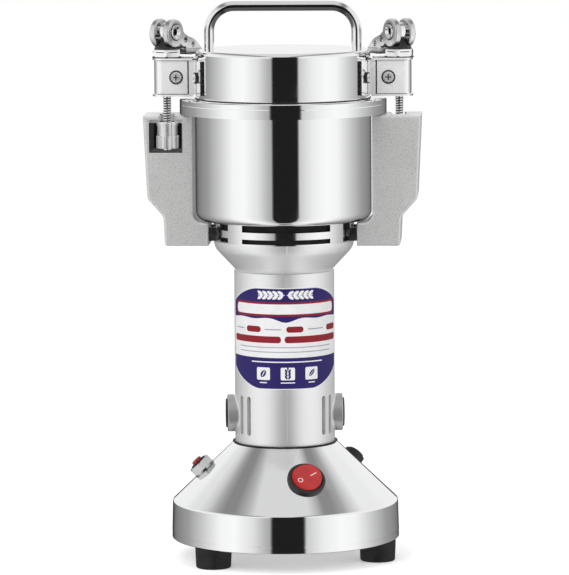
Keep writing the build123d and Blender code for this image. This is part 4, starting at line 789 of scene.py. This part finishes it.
def make_parting_line():
    """The raised line that the two halves of the housing's mould left, front and back."""
    bend = [(33.3 + 9 * cos(radians(a)), 192.5 + 9 * sin(radians(a)))
            for a in (-44, -33, -22, -11, 0)]
    flare = [(29.1, 175.3), (32.8, 179.1), (36.4, 182.8)] + bend + [(vent_radius, 193.6)]
    low, high = 72.5, neck_top - 0.3
    beyond_label = 0.8
    lines = (("front_low", 0, [(neck_radius, low), (neck_radius, label_bottom - beyond_label)]),
             ("front_high", 0, [(neck_radius, label_top + beyond_label), (neck_radius, high)]),
             ("front_flare", 0, flare),
             ("back", 180, [(neck_radius, low), (neck_radius, high)]),
             ("back_flare", 180, flare))
    for name, turn, path in lines:
        make_raised_line(f"parting_line_{name}", housing_front + turn, path)


def curved_sheet(name, start, end, radius, bottom, top, finish):
    """A thin sheet bent round the axis between two azimuths."""
    inside = radius - 0.2
    columns = max(2, int(round((end - start) / 3)))
    points = []
    for n in range(columns + 1):
        azimuth = start + (end - start) * n / columns
        points += [around(azimuth, radius, bottom), around(azimuth, radius, top),
                   around(azimuth, inside, top), around(azimuth, inside, bottom)]
    make_piece(name, points, bar_faces(columns), finish, "mill", 50)


def make_linings():
    """Dark gauze inside the vents and grey board behind the neck's slots."""
    gauze_radius, gauze_bottom, gauze_top = 39.9, 192.6, 205.0
    for name, start, end in (("front", -36.0, 46.6), ("right", 56.8, 72.0), ("right_back", 108.0, 133.5),
                             ("back", 144.0, 226.5), ("left_back", 237.0, 252.0), ("left", 288.0, 313.5)):
        curved_sheet(f"vent_gauze_{name}", start, end, gauze_radius, gauze_bottom, gauze_top, gauze_and_shade_finish)
    board_bottom, board_top, board_half_angle = 74.0, 104.0, 13
    for name, angle in (("right_front", 54.9), ("right_back", 125.1), ("left_back", 234.9),
                        ("left_front", 305.1)):
        middle = angle + housing_front
        curved_sheet(f"slot_board_{name}", middle - board_half_angle, middle + board_half_angle,
                     neck_inside - 0.15, board_bottom, board_top, board_finish)


# ---------------- clamps
def lever_seat(side):
    """The seat on a lever's pin, with z along the pin."""
    yaw = radians(lever_yaw)
    along = Vector((cos(yaw), side * sin(yaw), 0))
    return seat(Vector((side * rod_circle, 0, pin_height)) * mm, along, (0, 0, 1))


def rod_seat(side):
    """The seat on a rod's upright axis, at the height of the origin."""
    return seat(Vector((side * rod_circle * mm, 0, 0)), (0, 0, 1))


def make_rods():
    """Rods with a cut thread below, a plain shank in the ear and an eye for the lever's pin."""
    skin = rod_radius - 0.01
    thread_top, thread_root, thread_pitch = 279.6, 1.6, 1.5
    groove_shade_radius = 2.15
    shank_top = pin_height - 4.4
    eye = [(3.25, -1.5), (3.45, -1.7), (5.1, -1.7), (5.4, -1.4),
           (5.4, 1.4), (5.1, 1.7), (3.45, 1.7), (3.25, 1.5)]
    plated, plain, dark = finishes["fastener_steel"], finishes["steel"], finishes["black_steel"]
    for hand, side in sides:
        node, body = f"clamp_rod_{hand}", f"rod_{hand}"
        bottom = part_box(node)[0].z / mm
        place = rod_seat(side)
        thread = threaded_piece(f"rod_thread_{hand}", place, bottom + 0.02, thread_top, thread_root,
                                skin, thread_pitch, plated, body)
        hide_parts(node)
        # a black cylinder inside the thread is painted shade in its grooves
        groove_shade = turned_piece(f"rod_groove_shade_{hand}", ring(0, groove_shade_radius, bottom + 0.3, thread_top), place,
                            dark, body, 32)
        shank = turned_piece(f"rod_shank_{hand}", ring(0, skin, thread_top, shank_top), place, plain,
                             body, 32)
        loop = turned_piece(f"rod_eye_{hand}", eye, lever_seat(side), plated, body, 48, closed=True)
        for piece in (thread, groove_shade, shank, loop):
            piece.visible_glossy = False


def make_clamp_shade_rings():
    """Painted shade: dark rings round rivets, nuts and screws, dark sheets in the rivets' bores and dark
    crosses in the screws' recesses.
    """
    level = (ear_bottom + ear_top) / 2
    cross_long, cross_thin = 1.7, 0.42
    for hand, side in sides:
        lever = f"lever_{hand}"
        # painted shade round each rivet's head and inside its bore
        for face, word in ((-1, "inner"), (1, "outer")):
            near, far = sorted((face * cam_outer, face * (cam_outer + 0.12)))
            painted_shade_ring(f"rivet_shade_ring_{hand}_{word}", 4.3, 5.3, near, far, lever_seat(side), lever)
        painted_shade_ring(f"rivet_bore_shade_{hand}", 1.98, 2.09, -6.2, 6.2, lever_seat(side), lever, 32)
        # painted shade at the clamp nut's lower and upper edges
        for radius, rise, word in ((8.9, 0.01, "low"), (8.5, 3.1, "high")):
            painted_shade_ring(f"nut_shade_ring_{hand}_{word}", 3.2, radius, ear_top + rise, ear_top + rise + 0.45,
                      rod_seat(side), "lid")
        for word, face in front_and_back:
            # painted shade round each ear screw's head and in its cross recess
            screw = seat(Vector((side * ear_screw_reach, face * ear_half_width, level)) * mm, (0, face, 0))
            painted_shade_ring(f"ear_shade_ring_{hand}_{word}", 3.45, 4.15, 0.0, 0.25, screw, "lid")
            for across, up, place in ((cross_long, cross_thin, "flat"), (cross_thin, cross_long, "upright")):
                block(f"ear_recess_{hand}_{word}_{place}",
                      (ear_screw_reach - across, ear_screw_reach + across),
                      (ear_half_width + 1.3, ear_half_width + 1.86), (level - up, level + up),
                      finishes["black_steel"], "lid", side, face)
            # painted shade round each tab screw's head
            origin = around(side * (90 + face * tab_screw_angle), tab_radius + tab_sheet, level)
            screw = seat(origin, (origin.x, origin.y, 0), (0, 0, 1))
            painted_shade_ring(f"tab_shade_ring_{hand}_{word}", 2.2, 3.35, 0.0, 1.1, screw, "lid")


def make_ear_shade_lines():
    """Painted dark lines on each ear: a painted dark reflection in the bends before its tabs, then painted
    shadow at its joints with the cap plates.
    """
    bend_start, bend_end, wall_end = 56.0, 56.8, 75.0
    sunk = ear_half_width - 0.2
    dark = finishes["black_steel"]
    # painted dark reflection in each bend
    for corner, side, face in corners:
        block(f"ear_bend_reflection_{corner}", (bend_start, bend_end), (sunk, ear_half_width + 0.08),
              (ear_bottom + 1.2, ear_top - 1.2), dark, "lid", side, face)
    # painted shadow under the top cap and over the bottom cap
    for corner, side, face in corners:
        for level, place in ((ear_bottom + 1.2, "low"), (ear_top - 1.5, "high")):
            block(f"ear_joint_shadow_{corner}_{place}", (bend_end, wall_end), (sunk, ear_half_width + 0.05),
                  (level, level + 0.3), dark, "lid", side, face)


def make_bands():
    """The pressed square edges of the lid's collar and of the base's band, and a dark ring of painted shade
    in the collar's crease.
    """
    axis = seat(Vector((0, 0, 0)), (0, 0, 1))
    skin = collar_radius - 0.01
    collar = [(59.6, collar_top - 3.2), (skin, collar_top - 3.2), (skin, collar_top - 0.5),
              (collar_radius - 0.5, collar_top - 0.05), (59.6, collar_top - 0.05)]
    turned_piece("collar_edge", collar, axis, finishes["polished_stainless"], "lid", 192, closed=True,
                 crease=30)
    foot_edge = [(65.2, band_bottom + 0.05), (band_radius - 0.5, band_bottom + 0.05),
                 (band_radius - 0.15, band_bottom + 0.4), (band_radius - 0.2, band_bottom + 4.6),
                 (65.2, band_bottom + 4.6)]
    turned_piece("base_edge", foot_edge, axis, base_finish, "mill", 192, closed=True, crease=30)
    # painted shade in the crease between the lid's wall and the collar
    painted_shade_ring("collar_crease_shade", 52.3, 52.85, collar_top - 0.05, collar_top + 0.45, axis, "lid", 192)


def make_window_shade_sheets():
    """Painted shade: matt black sheets inside each bracket's window, where there is only shade."""
    gap, thin = 0.02, 0.2
    inner, outer = rod_circle - window_half_width, rod_circle + window_half_width
    front, back = -bracket_half_depth + 1.6, window_back - 0.1
    up = (window_bottom + 0.05, window_top - 0.1)
    spans = {
        "outer": ((outer - thin, outer - gap), (front, back), up),
        "inner": ((inner + gap, inner + thin), (front, back), up),
        "back": ((inner + thin, outer - thin), (window_back - thin, window_back - gap), up),
        "floor": ((inner + thin, outer - thin), (front, window_back - thin),
                  (window_bottom + gap, window_bottom + thin)),
    }
    for hand, side in sides:
        for word, (across, deep, high) in spans.items():
            # the left window opens to the front and the right one to the back
            # each black sheet is painted shade on a window's wall, kept out of mirrors
            shade_sheet = block(f"window_shade_sheet_{hand}_{word}", across, deep, high, gauze_and_shade_finish, "mill",
                           side, -side)
            shade_sheet.visible_glossy = False


# ---------------- switch marks
def cone_seat(azimuth):
    """Where a fitting sits on the base cone: origin in metres, x, y and outward normal."""
    slope = atan2(cone_top - band_top, band_top_radius - neck_opening)
    a = radians(azimuth)
    height = band_top + (band_top_radius - fitting_circle) * tan(slope)
    normal = Vector((sin(a) * sin(slope), -cos(a) * sin(slope), cos(slope)))
    x = Vector((cos(a), sin(a), 0))
    return around(azimuth, fitting_circle, height), x, normal.cross(x), normal


def make_rocker_marks():
    """The O and the I on the rocker's dished face."""
    origin, x, y, normal = cone_seat(switch_azimuth)
    turn = radians(rocker_turn)
    across = x * cos(turn) + y * sin(turn)
    hinge = normal.cross(across)
    tilt = Matrix.Rotation(radians(-rocker_tilt), 3, hinge)
    across, up = tilt @ across, tilt @ normal
    bezel_height, pivot_depth = 2.2, 1.0
    pivot = origin + normal * (bezel_height - pivot_depth) * mm
    rocker_height, dish_depth, dish_half = 3.2, 1.6, 10.25
    dish_radius = (dish_half ** 2 + dish_depth ** 2) / (2 * dish_depth)
    ink_top, ink_bottom = 0.07, -0.05

    def on_face(t, s, lift):
        height = rocker_height - dish_depth + dish_radius - sqrt(dish_radius ** 2 - t ** 2) + lift
        return pivot + (across * t + hinge * s + up * height) * mm

    def ring_mark(name, middle, half_long, half_wide, line):
        count = 32
        points = []
        for lift in (ink_top, ink_bottom):
            for grow in (0, -line):
                points += [on_face(middle + (half_wide + grow) * cos(2 * pi * n / count),
                                   (half_long + grow) * sin(2 * pi * n / count), lift)
                           for n in range(count)]
        faces = []
        for n in range(count):
            m = (n + 1) % count
            for a, b in ((0, 1), (1, 3), (3, 2), (2, 0)):
                faces.append((a * count + n, a * count + m, b * count + m, b * count + n))
        make_piece(name, points, faces, mark_white, "rocker", 50)

    def bar_mark(name, middle, half_long, half_wide):
        points = [on_face(middle + i * half_wide, j * half_long, lift)
                  for lift in (ink_top, ink_bottom) for i, j in ((-1, -1), (1, -1), (1, 1), (-1, 1))]
        faces = [(0, 1, 2, 3), (7, 6, 5, 4), (0, 4, 5, 1), (1, 5, 6, 2), (2, 6, 7, 3), (3, 7, 4, 0)]
        make_piece(name, points, faces, mark_white, "rocker", 50)

    ring_mark("rocker_mark_off", -4.4, 1.6, 1.6, 0.42)
    bar_mark("rocker_mark_on", 4.6, 0.25, 1.9)


# ---------------- studio
camera_azimuth = 3.0
card_azimuth = 5.5
camera_distance = 2560.0
camera_height = 456.0
aim_height = 164.0
aim_aside = 0.15
camera_roll = -0.35
focal_length = 267.0
lamp_aim_height = 170.0


def ramp(tree, factor, stops):
    """A ramp of greys; stops are (place, brightness), in order of their places."""
    node = tree.nodes.new("ShaderNodeValToRGB")
    elements = node.color_ramp.elements
    while len(elements) < len(stops):
        elements.new(1.0)
    # every place is set before the first grey, because a move can change the elements' order
    for element, (place, grey) in zip(elements, stops):
        element.position = place
    for element, (place, grey) in zip(elements, stops):
        element.color = (grey, grey, grey, 1.0)
    feed(tree, factor, node.inputs[0])
    return node.outputs[0]


def ramp_round(tree, share, stops):
    """A ramp round the horizon; stops are (degrees from the card's middle, brightness)."""
    return ramp(tree, share, [(0.5 + angle / 360.0, grey) for angle, grey in stops])


def build_studio_world():
    """Even soft light; polished metal sees side softboxes, a black card in front and lamps overhead."""
    world = bpy.data.worlds.new("studio")
    bpy.context.scene.world = world
    world.use_nodes = True
    world.cycles.sampling_method = "NONE"
    tree = world.node_tree
    x, y, z = split(tree, coordinate(tree, "Generated"))
    # the share of a full turn, with the card's middle at a half
    azimuth = maths(tree, "ARCTAN2", x, negative(tree, y))
    turn = maths(tree, "SUBTRACT", azimuth, radians(card_azimuth))
    turn = maths(tree, "WRAP", turn, pi, -pi)
    share = maths(tree, "ADD", maths(tree, "DIVIDE", turn, 2 * pi), 0.5)
    card, rim, card_grey = 16.6, 17.6, 0.014
    sides_and_back = ((56, 1.0), (72, 0.95), (96, 0.60), (120, 0.34), (152, 0.20), (167, 0.05), (180, 0.03))
    left = ((-36, 0.78), (-24, 0.50), (-rim, 0.40), (-card, card_grey))
    right = ((card, card_grey), (rim, 0.60), (24, 0.70), (36, 0.88))
    softboxes = ramp_round(tree, share, (
        *((-angle, grey) for angle, grey in reversed(sides_and_back)), *left, *right, *sides_and_back))
    # the room's bright walls above the horizon, with the card standing in front of them
    near_card = ((card, card_grey), (rim, 0.60), (22, 0.90), (180, 0.90))
    walls = ramp_round(tree, share, (
        *((-angle, grey) for angle, grey in reversed(near_card)), *near_card))
    # overhead softboxes, with two darker gaps between them
    lean = maths(tree, "DIVIDE", x, maths(tree, "MAXIMUM", z, 0.02))
    span = 1.2
    over = maths(tree, "ADD", maths(tree, "DIVIDE", lean, 2 * span), 0.5, clamp=True)
    overhead = ramp(tree, over, [(0.5 + at / (2 * span), grey) for at, grey in (
        (-1.0, 0.78), (-0.87, 0.62), (-0.76, 0.38), (-0.66, 0.25), (-0.54, 0.25), (-0.40, 0.45),
        (-0.30, 0.70), (0.24, 0.70), (0.32, 0.50), (0.40, 0.26), (0.50, 0.26), (0.60, 0.38),
        (0.68, 0.60), (0.80, 0.86))])
    seen = blend(tree, remap(tree, z, -0.02, 0.03), softboxes, walls)
    seen = blend(tree, remap(tree, z, 0.40, 0.58), seen, overhead)
    # straight below, the pale floor
    seen = blend(tree, remap(tree, negative(tree, z), 0.95, 0.98), seen, 0.62)
    # mirrors see the softboxes, matt faces an even light, and the camera a white room
    path = tree.nodes.new("ShaderNodeLightPath")
    even = blend(tree, path.outputs["Is Glossy Ray"], 0.72, seen)
    shown = blend(tree, path.outputs["Is Camera Ray"], even, 1.0)
    feed(tree, shown, tree.nodes["Background"].inputs["Color"])


def soft_lamp(name, azimuth, elevation, distance, size, watts):
    """A large square lamp that faces the mill; mirrors don't show it. Distance and size are metres."""
    lamp = bpy.data.lights.new(name, "AREA")
    lamp.shape = "SQUARE"
    lamp.size = size
    lamp.energy = watts
    holder = bpy.data.objects.new(name, lamp)
    e = radians(elevation)
    back = around(azimuth, cos(e), sin(e)).normalized()
    holder.location = back * distance + Vector((0, 0, lamp_aim_height * mm))
    holder.rotation_mode = "QUATERNION"
    holder.rotation_quaternion = (-back).to_track_quat("-Z", "Y")
    holder.visible_glossy = False
    bpy.context.scene.collection.objects.link(holder)


def make_floor():
    """A wide pale floor that keeps the mill's shadow and is left out of mirrors."""
    reach = 60.0
    mesh = bpy.data.meshes.new("studio_floor")
    mesh.from_pydata([(-reach, -reach, 0), (reach, -reach, 0), (reach, reach, 0), (-reach, reach, 0)],
                     [], [(0, 1, 2, 3)])
    floor = bpy.data.objects.new("studio_floor", mesh)
    bpy.context.scene.collection.objects.link(floor)
    finish = Finish("studio floor", (0.90, 0.90, 0.90), 0.0, 0.95, Specular_IOR_Level=0.0)
    # the camera sees it glow a little, so that it meets the white room
    path = finish.tree.nodes.new("ShaderNodeLightPath")
    glow = maths(finish.tree, "MULTIPLY", path.outputs["Is Camera Ray"], 0.35)
    fill(finish.tree, finish.shader, Emission_Color=1.0, Emission_Strength=glow)
    mesh.materials.append(finish.material)
    floor.visible_glossy = False


def make_camera():
    """A long lens a little above the mill and a little to its right."""
    camera = bpy.data.cameras.new("camera")
    camera.lens = focal_length
    camera.sensor_width = 36.0
    camera.clip_start, camera.clip_end = 0.1, 200.0
    holder = bpy.data.objects.new("camera", camera)
    bpy.context.scene.collection.objects.link(holder)
    holder.location = around(camera_azimuth, camera_distance, camera_height)
    a = radians(camera_azimuth)
    target = Vector((aim_aside * cos(a), aim_aside * sin(a), aim_height)) * mm
    look = (target - holder.location).to_track_quat("-Z", "Y").to_matrix().to_4x4()
    roll = Matrix.Rotation(radians(camera_roll), 4, "Z")
    holder.matrix_world = Matrix.Translation(holder.location) @ look @ roll
    bpy.context.scene.camera = holder


# ---------------- assembly
dress_frame()
make_label()
make_parting_line()
make_linings()
make_rods()
make_clamp_shade_rings()
make_ear_shade_lines()
make_bands()
make_window_shade_sheets()
make_rocker_marks()
build_studio_world()
soft_lamp("key lamp", azimuth=-38, elevation=42, distance=1.6, size=1.1, watts=9.0)
soft_lamp("fill lamp", azimuth=48, elevation=30, distance=1.8, size=1.2, watts=5.0)
make_floor()
make_camera()

bpy.context.scene.view_settings.view_transform = "Standard"
